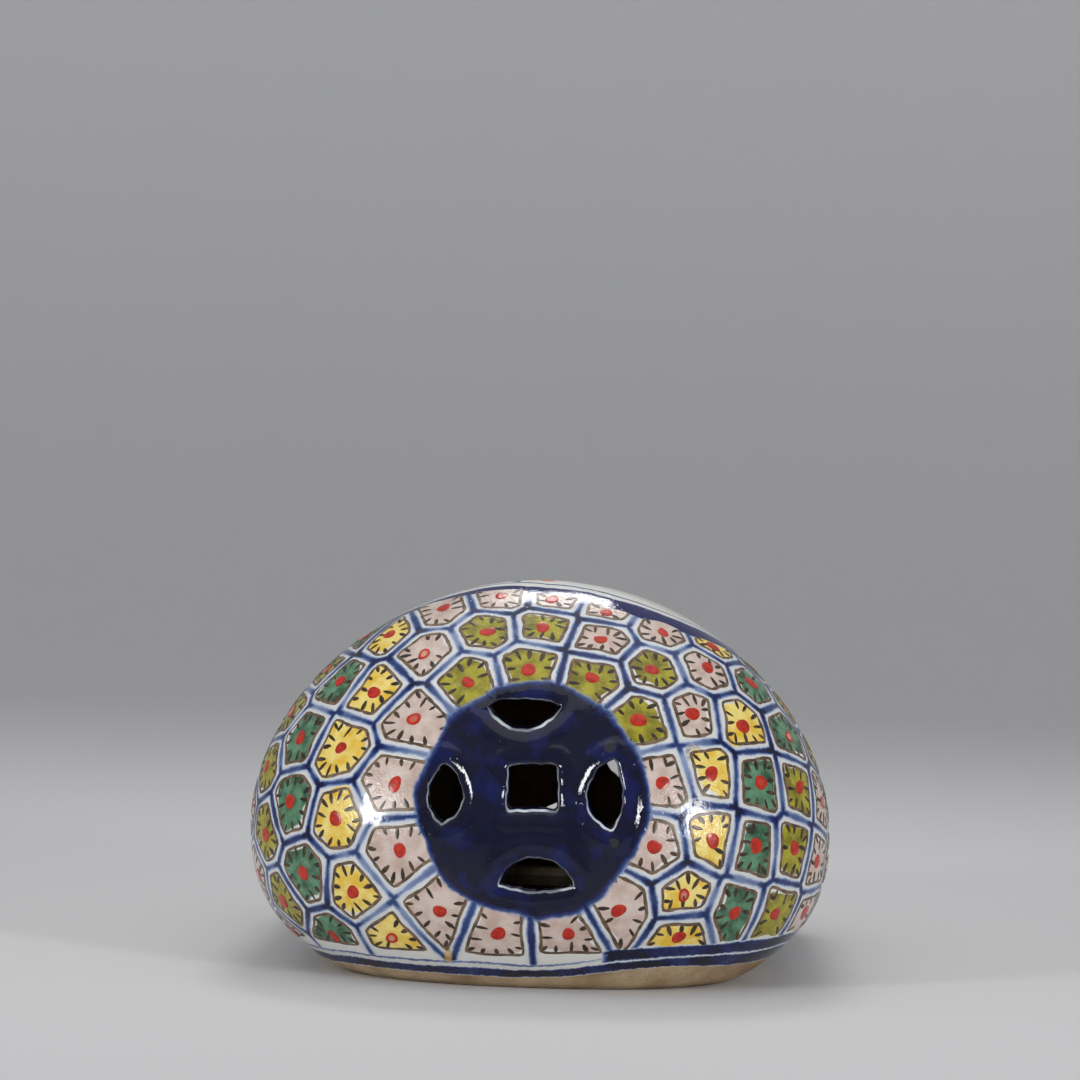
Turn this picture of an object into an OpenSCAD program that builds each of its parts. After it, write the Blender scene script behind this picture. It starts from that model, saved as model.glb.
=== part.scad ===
// Hollow ceramic pillow: a rounded body on a flat foot, with a saddle-shaped headrest and a pierced
// cash-coin medallion in each domed end. The clay pieces are luted together with coils inside.
// Millimetres, +Z up, origin at the middle of the foot. The near end is at -Y.

/* [Body] */
// Widest width of the body
body_w = 175; // [160:1:190]
// Length from end to end
body_l = 240; // [225:1:290]
// Height at the two crests of the headrest
body_h = 118; // [110:1:130]
// Height of the widest section above the table
belly_z = 43; // [40:1:46]
// Depth of each domed end
end_depth = 64; // [60:1:68]
// Thickness of the clay walls
wall_t = 8; // [6:0.5:9]
// Width of the flat foot
foot_w = 120; // [112:1:126]
// Sinking of the headrest between its crests
saddle_dip = 9; // [0:0.5:11]
// Run of each crest past the straight middle of the body
crest_run = 5; // [3:0.5:8]

/* [Curves] */
// Fullness of the plan at the ends, 2 is an ellipse
plan_n = 2.2; // [2:0.05:2.6]
// Fullness of the crown seen from the end
side_p = 1.9; // [1.8:0.05:2.2]
// Fullness of the crown seen from the side
end_p = 1.6; // [1.5:0.05:1.9]
// Fullness of the underside
low_q = 2.4; // [2.1:0.05:2.8]

/* [Base] */
// Thickness of the base slab
base_t = 7; // [5:0.5:9]
// Rounding of the lower edge of the base slab
base_round = 2; // [1:0.25:3]

/* [Headrest] */
// Width of the headrest plate in plan
headrest_w = 128; // [120:1:132]
// Length of the headrest plate in plan
headrest_l = 140; // [132:1:146]
// Squareness of the outline of the headrest plate
headrest_m = 4; // [2.5:0.25:5]

/* [Coin] */
// Radius of the round medallion
coin_r = 32.5; // [31:0.5:35]
// Height of the centre of the medallion
coin_z = 55; // [53:0.5:57]
// Width of the middle hole
square_w = 14; // [10:0.5:16]
// Height of the middle hole
square_h = 12.5; // [10:0.5:15]
// Middle hole above the centre of the medallion
square_up = 3.8; // [0:0.1:4]
// Lengths of the side holes along their flat edges: top, left, bottom, right
lens_l = [21, 16.5, 21, 19.5]; // [16.5:0.5:22]
// Distances of the side holes from the centre: top, left, bottom, right
lens_r = [26.5, 25.5, 24, 22.6]; // [22:0.1:27]
// Slips of the side holes along their edges, as cut by hand: top, left, bottom, right
lens_slip = [-3.7, 1, -1.7, -2.2]; // [-4:0.1:4]
// Bulges of the side holes towards the centre: top, left, bottom, right
lens_in = [6.5, 5.6, 8, 7]; // [5:0.1:8]
// Bulges of the side holes away from the centre: top, left, bottom, right
lens_out = [1.8, 4.2, 1.4, 2.8]; // [1:0.1:4.5]

/* [Luting] */
// Clearance left between luted pieces
joint_gap = 0.15; // [0.1:0.05:0.3]
// Width of the luting coils inside
coil_w = 10; // [8:0.5:12]
// Thickness of the luting coils inside
coil_t = 4; // [3:0.5:5]
// Thickness left along the edges of the luting coils
coil_edge = 0.5; // [0.3:0.1:1]

/* [Hidden] */
// Length of the bars that cut the round opening and the holes
cut_len = end_depth * 0.75;
cut_over = body_l / 24;
half_w = body_w / 2;
// Half length of the straight middle, which ends at the crests
mid_k = body_l / 2 - end_depth;
crest_reach = mid_k + crest_run;
foot_share = foot_w / body_w;
low_depth = belly_z / pow(1 - pow(foot_share, low_q), 1 / low_q);
coil_off = wall_t + joint_gap;
seg_n = 5;
cap_n = 36;
low_n = 6;
top_n = 12;
disc_n = 72;
disc_m = 9;
bead_n = 4;

// Share of the way from the spine to the outline, for a surface set in by off
function across(x, off) = abs(x) / (half_w - off);
function along(y, off) = max(0, abs(y) - mid_k) / (end_depth - off);
function reach(x, y, off) = pow(pow(across(x, off), plan_n) + pow(along(y, off), plan_n), 1 / plan_n);

// Crown of the body: the profile goes from the side curve to the end curve around each end
function crown_p(x, y, off) =
    let (u = across(x, off), v = along(y, off))
    u + v == 0 ? side_p : side_p + (end_p - side_p) * v * v / (u * u + v * v);
function rise(x, y, off) =
    let (p = crown_p(x, y, off))
    pow(max(0, 1 - pow(min(1, reach(x, y, off)), p)), 1 / p);
function dip(y) = abs(y) < crest_reach ? saddle_dip * pow(cos(90 * y / crest_reach), 2) : 0;
function top_z(x, y, off) =
    let (s = rise(x, y, off))
    belly_z + (body_h - off - belly_z) * s - dip(y) * s * s;

// Underside of the body: share of the widest outline at height z
function under(z) = pow(1 - pow((belly_z - z) / low_depth, low_q), 1 / low_q);

// Points around the widest outline, each with its foot on the spine
function spow(v, e) = sign(v) * pow(abs(v), e);
function cap_pt(t) = [half_w * spow(cos(t), 2 / plan_n), -mid_k - end_depth * spow(sin(t), 2 / plan_n)];
function half_rim() = concat(
    [for (i = [0 : seg_n - 1]) [[half_w, -mid_k * i / seg_n], [0, -mid_k * i / seg_n]]],
    [for (j = [0 : cap_n]) [cap_pt(180 * j / cap_n), [0, -mid_k]]],
    [for (i = [seg_n - 1 : -1 : 0]) [[-half_w, -mid_k * i / seg_n], [0, -mid_k * i / seg_n]]]
);
function turned(p) = [-p[0], -p[1]];
function full_rim() =
    let (h = half_rim(), n = len(h))
    concat([for (i = [0 : n - 2]) h[i]], [for (i = [0 : n - 2]) [turned(h[i][0]), turned(h[i][1])]]);

// Outline of the headrest plate, and where the line from the spine to the rim crosses it
function rest_share(p, w, l) =
    pow(pow(abs(p[0]) / w, headrest_m) + pow(abs(p[1]) / l, headrest_m), 1 / headrest_m);
function cross_t(e, s, w, l, a = 0, b = 1, n = 26) =
    let (m = (a + b) / 2)
    n == 0 ? m
    : rest_share(s + m * (e - s), w, l) < 1 ? cross_t(e, s, w, l, m, b, n - 1)
    : cross_t(e, s, w, l, a, m, n - 1);
function open_t(r) = cross_t(r[0], r[1], headrest_w / 2, headrest_l / 2);

// One face of a wall section, from height z0 up over the belly to the share t_end
function face_pts(r, off, z0, t_end) =
    let (v = r[0] - r[1], t = 1 / reach(r[0][0], r[0][1], off))
    concat(
        [for (i = [0 : low_n - 1])
            let (z = z0 + (belly_z - z0) * sin(90 * i / low_n), p = r[1] + under(z) * t * v)
            [p[0], p[1], z]],
        [for (j = [0 : top_n])
            let (p = r[1] + (t_end + (t - t_end) * cos(90 * j / top_n)) * v)
            [p[0], p[1], j == 0 ? belly_z : top_z(p[0], p[1], off)]]
    );
function flip(v) = [for (i = [len(v) - 1 : -1 : 0]) v[i]];
function wall_section(r, o1, o2, z0, t_end) =
    concat(face_pts(r, o1, z0, t_end), flip(face_pts(r, o2, z0, t_end)));

// A solid from a row of closed sections, open at both ends or closed into a ring
module loft(sections, ring = false) {
    n = len(sections);
    m = len(sections[0]);
    pts = [for (s = sections) for (p = s) p];
    skin = [for (i = [0 : ring ? n - 1 : n - 2]) for (j = [0 : m - 1])
        let (g = ((i + 1) % n) * m, h = (j + 1) % m, a = i * m + j, b = i * m + h, c = g + j, d = g + h)
        each [[a, b, d], [a, d, c]]];
    ends = ring ? [] : [for (j = [0 : m / 2 - 2])
        let (k = (n - 1) * m)
        each [[j, m - 1 - j, m - 2 - j], [j, m - 2 - j, j + 1],
              [k + j, k + m - 2 - j, k + m - 1 - j], [k + j, k + j + 1, k + m - 2 - j]]];
    polyhedron(pts, concat(skin, ends), convexity = 8);
}

module half_wall() {
    loft([for (r = half_rim()) wall_section(r, 0, wall_t, base_t, open_t(r))]);
}

// The part of the end where the medallion sits, between two set-in surfaces
module end_patch(o1, o2) {
    rim = half_rim();
    loft([for (i = [seg_n + 4 : seg_n + cap_n - 4]) wall_section(rim[i], o1, o2, base_t, open_t(rim[i]))]);
}

module coin_bar(r) {
    translate([0, -body_l / 2 - cut_over, coin_z])
        rotate([-90, 0, 0])
            cylinder(r = r, h = cut_len, $fn = 96);
}

// Radius of an arc of a given length and bulge
function bow_r(l, b) = (l * l / 4 + b * b) / (2 * b);

module lens(i) {
    in_r = bow_r(lens_l[i], lens_in[i]);
    out_r = bow_r(lens_l[i], lens_out[i]);
    intersection() {
        translate([lens_slip[i], lens_r[i] - lens_in[i] + in_r])
            circle(r = in_r, $fn = 96);
        translate([lens_slip[i], lens_r[i] + lens_out[i] - out_r])
            circle(r = out_r, $fn = 180);
    }
}

module coin_holes() {
    translate([0, -body_l / 2 + cut_len - cut_over, coin_z])
        rotate([90, 0, 0])
            linear_extrude(cut_len)
                union() {
                    translate([0, square_up])
                        square([square_w, square_h], center = true);
                    for (i = [0 : 3])
                        rotate(90 * i)
                            lens(i);
                }
}

module near_wall() {
    color([0.86, 0.87, 0.84])
        difference() {
            half_wall();
            coin_bar(coin_r);
        }
}

module far_wall() {
    mirror([0, 1, 0])
        near_wall();
}

module near_coin() {
    color([0.06, 0.1, 0.36])
        difference() {
            intersection() {
                end_patch(0, wall_t);
                coin_bar(coin_r - joint_gap);
            }
            coin_holes();
        }
}

module far_coin() {
    mirror([0, 1, 0])
        near_coin();
}

// Headrest plate: a polar net of points over the crown, and the same net set in by the wall
module headrest() {
    w = headrest_w / 2 - joint_gap;
    l = headrest_l / 2 - joint_gap;
    ring = [for (i = [0 : disc_n - 1])
        let (t = 360 * i / disc_n)
        [w * spow(cos(t), 2 / headrest_m), l * spow(sin(t), 2 / headrest_m)]];
    net = [for (j = [1 : disc_m]) for (p = ring) p * j / disc_m];
    n = disc_n * disc_m;
    pts = concat(
        [for (p = net) [p[0], p[1], top_z(p[0], p[1], 0)]],
        [for (p = net) [p[0], p[1], top_z(p[0], p[1], wall_t)]],
        [[0, 0, top_z(0, 0, 0)], [0, 0, top_z(0, 0, wall_t)]]
    );
    skin = [for (j = [0 : disc_m - 2]) for (i = [0 : disc_n - 1])
        let (k = (i + 1) % disc_n, a = j * disc_n + i, b = j * disc_n + k, c = a + disc_n, d = b + disc_n)
        each [[a, b, d], [a, d, c], [n + a, n + d, n + b], [n + a, n + c, n + d]]];
    hub = [for (i = [0 : disc_n - 1])
        let (k = (i + 1) % disc_n)
        each [[2 * n, k, i], [2 * n + 1, n + i, n + k]]];
    side = [for (i = [0 : disc_n - 1])
        let (k = (i + 1) % disc_n, a = n - disc_n + i, b = n - disc_n + k)
        each [[a, b, n + b], [a, n + b, n + a]]];
    color([0.9, 0.91, 0.9])
        polyhedron(pts, concat(skin, hub, side), convexity = 4);
}

module base_slab() {
    rim = full_rim();
    n = len(rim);
    levels = [0, 0.3, 1];
    zs = concat([for (s = levels) base_round * s], [(base_round + base_t) / 2, base_t]);
    inset = concat([for (s = levels) base_round * (1 - sqrt(1 - pow(1 - s, 2)))], [0, 0]);
    pts = concat(
        [for (i = [0 : len(zs) - 1]) for (r = rim)
            let (v = r[0] - r[1], p = r[1] + (under(zs[i]) - inset[i] / norm(v)) * v)
            [p[0], p[1], zs[i]]],
        [[0, 0, 0], [0, 0, base_t]]
    );
    m = len(zs);
    skin = [for (j = [0 : m - 2]) for (i = [0 : n - 1])
        let (k = (i + 1) % n, a = j * n + i, b = j * n + k, c = a + n, d = b + n)
        each [[a, b, d], [a, d, c]]];
    hub = [for (i = [0 : n - 1])
        let (k = (i + 1) % n)
        each [[m * n, k, i], [m * n + 1, (m - 1) * n + i, (m - 1) * n + k]]];
    color([0.66, 0.55, 0.42])
        polyhedron(pts, concat(skin, hub), convexity = 2);
}

// Half-round bead under the joint between headrest and walls
function bead_section(r) =
    let (v = r[0] - r[1], t = open_t(r), d = coil_w / 2 / norm(v))
    concat(
        [for (i = [0 : bead_n])
            let (p = r[1] + (t + d * (1 - 2 * i / bead_n)) * v)
            [p[0], p[1], top_z(p[0], p[1], coil_off)]],
        [for (i = [bead_n : -1 : 0])
            let (s = 1 - 2 * i / bead_n, p = r[1] + (t + d * s) * v)
            [p[0], p[1], top_z(p[0], p[1], coil_off) - coil_edge - coil_t * sqrt(1 - s * s)]]
    );

module headrest_coil() {
    color([0.72, 0.6, 0.46])
        loft([for (r = full_rim()) bead_section(r)], ring = true);
}

// Quarter-round coil in the corner between wall and base slab
function corner_section(r) =
    let (v = r[0] - r[1], t = 1 / reach(r[0][0], r[0][1], coil_off), z0 = base_t + joint_gap)
    concat(
        [for (i = [0 : bead_n])
            let (z = z0 + coil_w * i / bead_n, p = r[1] + under(z) * t * v)
            [p[0], p[1], z]],
        [for (i = [0 : bead_n])
            let (a = 90 - 90 * i / bead_n, d = (coil_w * cos(a) + coil_edge) / norm(v),
                 p = r[1] + (under(z0) * t - d) * v)
            [p[0], p[1], z0 + coil_w * sin(a)]]
    );

module base_coil() {
    color([0.72, 0.6, 0.46])
        loft([for (r = full_rim()) corner_section(r)], ring = true);
}

module near_coin_coil() {
    color([0.72, 0.6, 0.46])
        intersection() {
            end_patch(coil_off, coil_off + coil_t);
            difference() {
                coin_bar(coin_r + coil_w / 2);
                coin_bar(coin_r - coil_w / 4);
            }
        }
}

module far_coin_coil() {
    mirror([0, 1, 0])
        near_coin_coil();
}

// Half-round strip up the seam where the two halves meet at the middle of the long side
module right_seam_coil() {
    z0 = base_t + coil_w + 2 * joint_gap;
    t_end = (headrest_w / 2 + coil_w / 2 + 2 * joint_gap) / half_w;
    color([0.72, 0.6, 0.46])
        loft([for (i = [0 : 2 * bead_n])
            let (s = 1 - i / bead_n, y = s * coil_w / 2, o = coil_off + coil_edge + coil_t * sqrt(1 - s * s))
            wall_section([[half_w, y], [0, y]], coil_off, o, z0, t_end)]);
}

module left_seam_coil() {
    mirror([1, 0, 0])
        right_seam_coil();
}

near_wall();
far_wall();
headrest();
base_slab();
near_coin();
far_coin();
headrest_coil();
base_coil();
near_coin_coil();
far_coin_coil();
left_seam_coil();
right_seam_coil();
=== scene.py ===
import math

import bmesh
import bpy
import numpy as np
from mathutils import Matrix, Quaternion, Vector
from mathutils.geometry import delaunay_2d_cdt


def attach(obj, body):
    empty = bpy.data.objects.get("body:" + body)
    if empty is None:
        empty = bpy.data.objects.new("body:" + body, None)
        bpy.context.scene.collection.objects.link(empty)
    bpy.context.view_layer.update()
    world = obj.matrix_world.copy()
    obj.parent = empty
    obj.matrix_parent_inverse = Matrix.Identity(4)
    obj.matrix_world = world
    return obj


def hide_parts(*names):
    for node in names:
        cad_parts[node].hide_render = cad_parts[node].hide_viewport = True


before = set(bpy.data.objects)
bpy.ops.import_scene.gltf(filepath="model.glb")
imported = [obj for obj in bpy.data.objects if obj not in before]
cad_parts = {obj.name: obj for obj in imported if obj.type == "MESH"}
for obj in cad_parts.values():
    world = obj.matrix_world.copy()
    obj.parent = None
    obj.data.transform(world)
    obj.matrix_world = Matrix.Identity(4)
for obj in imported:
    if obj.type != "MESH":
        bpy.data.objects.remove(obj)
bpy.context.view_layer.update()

mm = 0.001  # the form below is in millimetres, the scene in metres
scene = bpy.context.scene
fullTurn = 6.28
farOff = 1e9  # beyond any distance here
ends = {"near": 1, "far": -1}  # the photographed end, and the one that mirrors it

# The pillow's form, with the same driving sizes as the solids
form = {
    "width": 175.0,
    "length": 240.0,
    "height": 118.0,
    "bellyZ": 43.0,      # height of the widest section
    "endDepth": 64.0,    # depth of each domed end
    "wall": 8.0,
    "footWidth": 120.0,
    "dip": 9.0,          # sinking of the headrest between its crests
    "crestRun": 5.0,
    "planN": 2.2,        # powers of the curves: in plan, over the sides, over the ends, under the belly
    "sideP": 1.9,
    "endP": 1.6,
    "lowQ": 2.4,
    "baseT": 7.0,
    "skinIn": 0.5,       # the glazed skin lies this far inside the solid
    "handWobble": 0.45,  # depth of the hand-made unevenness, inwards
}
halfW = form["width"] / 2
bellyZ = form["bellyZ"]
midK = form["length"] / 2 - form["endDepth"]
lowDepth = bellyZ / (1 - (form["footWidth"] / form["width"]) ** form["lowQ"]) ** (1 / form["lowQ"])


def signedPower(value, power):
    return np.sign(value) * np.abs(value) ** power


def reachAndPower(x, y, off):  # share of the way out in plan, and the power of the curve over it
    u = np.abs(x) / (halfW - off)
    v = np.maximum(0, np.abs(y) - midK) / (form["endDepth"] - off)
    reach = (u ** form["planN"] + v ** form["planN"]) ** (1 / form["planN"])
    turn = v * v / np.maximum(u * u + v * v, 1e-12)
    return reach, form["sideP"] + (form["endP"] - form["sideP"]) * turn


def dipAt(y):
    crest = midK + form["crestRun"]
    return np.where(np.abs(y) < crest, form["dip"] * np.cos(np.pi / 2 * y / crest) ** 2, 0.0)


def riseAt(x, y, off):
    reach, power = reachAndPower(x, y, off)
    return np.maximum(0, 1 - np.minimum(1, reach) ** power) ** (1 / power)


def topZ(x, y, off=0.0):
    rise = riseAt(x, y, off)
    return bellyZ + (form["height"] - off - bellyZ) * rise - dipAt(y) * rise ** 2


def onTop(flat, off=0.0):  # points of the plan, lifted to the top of the body
    return np.column_stack([flat, topZ(flat[:, 0], flat[:, 1], off)])


def underShare(z):
    drop = np.clip((bellyZ - z) / lowDepth, 0, 1)
    return (1 - drop ** form["lowQ"]) ** (1 / form["lowQ"])


def bodyGap(points, off=0.0):  # below zero inside the body, above zero outside
    x, y, z = points[..., 0], points[..., 1], points[..., 2]
    reach, power = reachAndPower(x, y, off)
    rise = riseAt(x, y, off)
    lift = np.maximum(0, (z - bellyZ + dipAt(y) * rise ** 2) / (form["height"] - off - bellyZ))
    return np.where(z >= bellyZ, reach ** power + lift ** power - 1, reach - underShare(z))


def slopeOf(measure, points, step):
    slope = np.empty_like(points)
    for axis, move in enumerate(np.eye(points.shape[-1]) * step):
        slope[..., axis] = (measure(points + move) - measure(points - move)) / (2 * step)
    return slope


def bodySlope(points, off=0.0):
    return slopeOf(lambda spots: bodyGap(spots, off), points, step=0.02)


def unit(vectors):
    return vectors / np.maximum(np.linalg.norm(vectors, axis=-1, keepdims=True), 1e-12)


def bodyNormal(points, off=0.0):
    return unit(bodySlope(points, off))


def handWave(points):  # a slow unevenness between -1 and 1, the same on both ends
    x, y, z = points[..., 0], np.abs(points[..., 1]), points[..., 2]
    return (0.5 * np.sin(x / 23 + 1.1) * np.sin(y / 19 + 0.7)
            + 0.3 * np.sin(z / 13 + x / 37 + 2.1)
            + 0.2 * np.sin(y / 11 - z / 17))


def glazeSkin(points, normals, lift=0.0):
    depth = form["skinIn"] + form["handWobble"] * (0.5 + 0.5 * handWave(points))
    return points - normals * (depth - lift)[..., None]


def halve(low, high, isInside, turns):  # closes in on the edge between low, inside, and high, outside
    for turn in range(turns):
        middle = (low + high) / 2
        inside = isInside(middle)
        low, high = np.where(inside, middle, low), np.where(inside, high, middle)
    return (low + high) / 2


def ontoBody(points, normals, below=-12.0, above=5.0):
    low, high = (np.full(points.shape[:-1], limit) for limit in (below, above))
    reach = halve(low, high, lambda middle: bodyGap(points + normals * middle[..., None]) < 0, turns=30)
    return points + normals * reach[..., None]


def endY(x, z, off=0.0, inside=25.0, beyond=1.0):  # where the near end's skin is, looking along Y
    low, high = (np.full(x.shape, limit) for limit in (midK - inside, form["length"] / 2 + beyond))
    return -halve(low, high, lambda middle: bodyGap(np.stack([x, -middle, z], -1), off) < 0, turns=40)


def smooth(low, high, value):
    share = np.clip((value - low) / (high - low), 0, 1)
    return share * share * (3 - 2 * share)


def turned(points, degrees):  # flat points, swung about zero
    c, s = math.cos(math.radians(degrees)), math.sin(math.radians(degrees))
    return points @ np.array([[c, s], [-s, c]])


def evenly(points, count=None, step=None):  # along a path, so many points or so far apart
    along = np.concatenate([[0], np.cumsum(np.linalg.norm(np.diff(points, axis=0), axis=1))])
    places = np.linspace(0, along[-1], count or round(along[-1] / step) + 1)
    return np.stack([np.interp(places, along, points[:, k]) for k in range(points.shape[1])], -1)


def circleOf(count):  # angles, evenly round
    return np.linspace(0, 2 * np.pi, count, endpoint=False)


def waves(around, sizes, phases, level=0.0):  # sizes: how many waves, and how deep
    return sum((deep * np.sin(count * around + phase) for (count, deep), phase in zip(sizes, phases)), level)


# Mesh helpers
def addObject(name, data):
    thing = bpy.data.objects.new(name, data)
    scene.collection.objects.link(thing)
    return thing


def addMesh(name, verts, faces, materials=(), fields=None, facing=None, slots=None, outward=True, edges=()):
    mesh = bpy.data.meshes.new(name)
    mesh.from_pydata((np.asarray(verts) * mm).tolist(), edges, faces)
    for material in materials:
        mesh.materials.append(material)
    if slots is not None:
        mesh.polygons.foreach_set("material_index", slots)
    if outward:
        work = bmesh.new()
        work.from_mesh(mesh)
        bmesh.ops.recalc_face_normals(work, faces=work.faces)
        work.to_mesh(mesh)
        work.free()
    mesh.polygons.foreach_set("use_smooth", [True] * len(mesh.polygons))
    for label, values in (fields or {}).items():
        values = np.asarray(values, np.float32)
        kind, key = ("FLOAT", "value") if values.ndim == 1 else ("FLOAT_VECTOR", "vector")
        mesh.attributes.new(label, kind, "POINT").data.foreach_set(key, values.ravel())
    if facing is not None:
        mesh.normals_split_custom_set_from_vertices(facing.tolist())
    mesh.update()
    return addObject(name, mesh)


def addGuide(name, verts, edges=(), **fields):  # points and lines for Geometry Nodes to build on
    return addMesh(name, verts, [], fields=fields, outward=False, edges=edges)


def addShape(name, verts, faces, fields=None):  # sized in metres, to be scaled where it is used
    return addMesh(name, np.array(verts) / mm, faces, fields=fields, outward=False)


def evaluated(thing):  # its mesh, with the modifiers applied
    depsgraph = bpy.context.evaluated_depsgraph_get()
    return bpy.data.meshes.new_from_object(thing.evaluated_get(depsgraph))


def readVectors(items, key):
    values = np.empty(len(items) * 3)
    items.foreach_get(key, values)
    return values.reshape(-1, 3)


def ringPairs(count, start=0):
    return [(start + k, start + (k + 1) % count) for k in range(count)]


def bridge(upper, lower):  # quads between two rings of as many points
    return [(a, b, d, c) for a, b, c, d in zip(upper, upper[1:] + upper[:1], lower, lower[1:] + lower[:1])]


def ringFaces(levels, count, start=0, hub=None):  # quads from ring to ring, then a fan to the hub
    rings = [list(range(start + level * count, start + (level + 1) * count)) for level in range(levels)]
    faces = [face for upper, lower in zip(rings, rings[1:]) for face in bridge(upper, lower)]
    if hub is not None:
        faces += [(a, b, hub) for a, b in ringPairs(count, rings[-1][0])]
    return faces


def netFaces(columns, rows, start=0):
    corners = [start + i * rows + j for i in range(columns - 1) for j in range(rows - 1)]
    return [(a, a + rows, a + rows + 1, a + 1) for a in corners]


def flipped(faces):
    return [face[::-1] for face in faces]


# Node helpers
def tint(red, green, blue):  # a colour as seen on screen, 0 to 255, made linear
    parts = [value / 255 for value in (red, green, blue)]
    return tuple(v / 12.92 if v <= 0.04045 else ((v + 0.055) / 1.055) ** 2.4 for v in parts) + (1.0,)


def feed(node, inputs):  # links, or plain values
    for key, value in inputs.items():
        if isinstance(value, Wire):
            value.tree.links.new(value.socket, node.inputs[key])
        else:
            node.inputs[key].default_value = value


def put(tree, kind, inputs=None, **settings):
    node = tree.nodes.new(kind)
    for key, value in settings.items():
        setattr(node, key, value)
    feed(node, inputs or {})
    return node


def out(tree, kind, inputs=None, output=0, **settings):
    return Wire(put(tree, kind, inputs, **settings).outputs[output])


def mathNode(operation, swapped=False):
    def join(self, other=0.0):
        first, second = (other, self) if swapped else (self, other)
        return out(self.tree, "ShaderNodeMath", {0: first, 1: second}, operation=operation)
    return join


class Wire:  # a node's output that takes part in sums, each of which adds a Math node
    def __init__(self, socket):
        self.socket = socket
        self.tree = socket.id_data

    def between(self, low, high):  # 0 to 1 spread over low to high
        return out(self.tree, "ShaderNodeMath", {0: self, 1: high - low, 2: low}, operation="MULTIPLY_ADD")

    __add__ = mathNode("ADD")
    __sub__ = mathNode("SUBTRACT")
    __rsub__ = mathNode("SUBTRACT", swapped=True)
    __mul__ = mathNode("MULTIPLY")
    __truediv__ = mathNode("DIVIDE")
    __abs__ = mathNode("ABSOLUTE")
    atLeast = mathNode("MAXIMUM")
    atMost = mathNode("MINIMUM")
    root = mathNode("SQRT")


def axes(vector):
    return [Wire(socket) for socket in put(vector.tree, "ShaderNodeSeparateXYZ", {0: vector}).outputs]


def combined(*parts):
    return out(parts[0].tree, "ShaderNodeCombineXYZ", dict(enumerate(parts)))


def moved(vector, step):
    return out(vector.tree, "ShaderNodeVectorMath", {0: vector, 1: step})


def scaled(vector, size):
    return out(vector.tree, "ShaderNodeVectorMath", {0: vector, 3: size}, operation="SCALE")


def ease(low, high, value):  # 0 below low, 1 above high
    return out(value.tree, "ShaderNodeMapRange", {0: value, 1: low, 2: high}, interpolation_type="SMOOTHSTEP")


def fade(low, high, value):  # 1 below low, 0 above high
    return 1.0 - ease(low, high, value)


def blend(share, first, second):
    return out(share.tree, "ShaderNodeMix", {0: share, 6: first, 7: second}, 2, data_type="RGBA")


def ramp(value, stops, kind="LINEAR"):
    node = put(value.tree, "ShaderNodeValToRGB", {0: value})
    node.color_ramp.interpolation = kind
    while len(node.color_ramp.elements) < len(stops):
        node.color_ramp.elements.new(0.5)
    for element, (place, colour) in zip(node.color_ramp.elements, stops):
        element.position = place
        element.color = colour
    return Wire(node.outputs[0])


def field(place, name):
    return out(place.tree, "ShaderNodeAttribute", None, "Fac", attribute_name=name)


finishes = {  # least and most roughness, and the depth of the bump in millimetres
    "glaze": (0.05, 0.12, 0.06),
    "cobalt": (0.0, 0.07, 0.07),
    "clay": (0.6, 0.85, 0.25),
    "wash": (0.09, 0.23, 0.14),
    "brown": (0.06, 0.3, 0.05),
    "coral": (0.14, 0.34, 0.08),
    "spray": (0.1, 0.26, 0.06),
}
bareRough = 0.6  # added where the clay is bare


def surface(kind, colour, share, height, bare=None):  # share runs the roughness from least to most
    low, high, depth = finishes[kind]
    rough = share.between(low, high)
    if bare is not None:
        rough = bare * bareRough + rough
    bump = out(height.tree, "ShaderNodeBump", {"Height": height, "Distance": depth * mm, "Strength": 1.0})
    return {"Base Color": colour, "Roughness": rough, "Normal": bump}


def makeMaterial(paint):  # paint takes the place in millimetres and gives the shader's inputs
    material = bpy.data.materials.new(paint.__name__)
    material.use_nodes = True
    place = scaled(out(material.node_tree, "ShaderNodeTexCoord", None, "Object"), 1 / mm)
    feed(material.node_tree.nodes["Principled BSDF"], paint(place))
    return material


clouds = {  # scale, detail and shift of each noise, and what 0 to 1 is spread over
    "wide": (0.032, 2.0, 0.0),
    "middle": (0.16, 2.0, 7.0),
    "fine": (1.1, 3.0, 0.0),
    "peel": (0.32, 2.0, 3.0),
    "pits": (2.2, 3.0, 9.0),
    "footSway": (0.045, 2.0, 41.0, -1.0, 1.0),
    "footBrush": (0.8, 3.0, 44.0, -0.45, 0.45),
    "footDry": (0.11, 3.0, 47.0, 0.48, 1.38),
    "coinSway": (0.055, 2.0, 31.0, -4.0, 4.0),
    "coinBrush": (0.5, 2.0, 0.0, -0.5, 0.5),
    "coinMottle": (0.1, 3.0, 13.0, 0.66, 1.36),
    "coinFine": (0.8, 3.0, 0.0),
    "rimBreaks": (0.3, 2.0, 23.0, -0.72, 0.18),
    "clayBump": (1.6, 4.0, 2.0),
    "washEdge": (0.12, 2.0, 37.0, -0.4, 0.4),
    "washGrain": (1.3, 3.0, 51.0),
    "brownWear": (0.4, 3.0, 61.0),
    "coralBrush": (0.6, 3.0, 71.0),
    "sprayBrush": (0.5, 3.0, 81.0),
    "floorSpeck": (0.4, 3.0, 0.0),
}
blotches = {  # the same, and where the noise is cut, from none to full
    "warmth": (0.045, 3.0, 11.0, 0.42, 0.72),
    "craters": (0.7, 0.0, 15.0, 0.7, 0.8),
    "rimFits": (0.13, 2.0, 29.0, 0.4, 0.6),
    "clayGrain": (0.9, 4.0, 5.0, 0.52, 0.72),
    "clayStain": (0.06, 3.0, 17.0, 0.35, 0.75),
    "washPool": (0.22, 3.0, 19.0, 0.3, 0.72),
    "washThin": (0.5, 3.0, 43.0, 0.58, 0.85),
}


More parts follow.
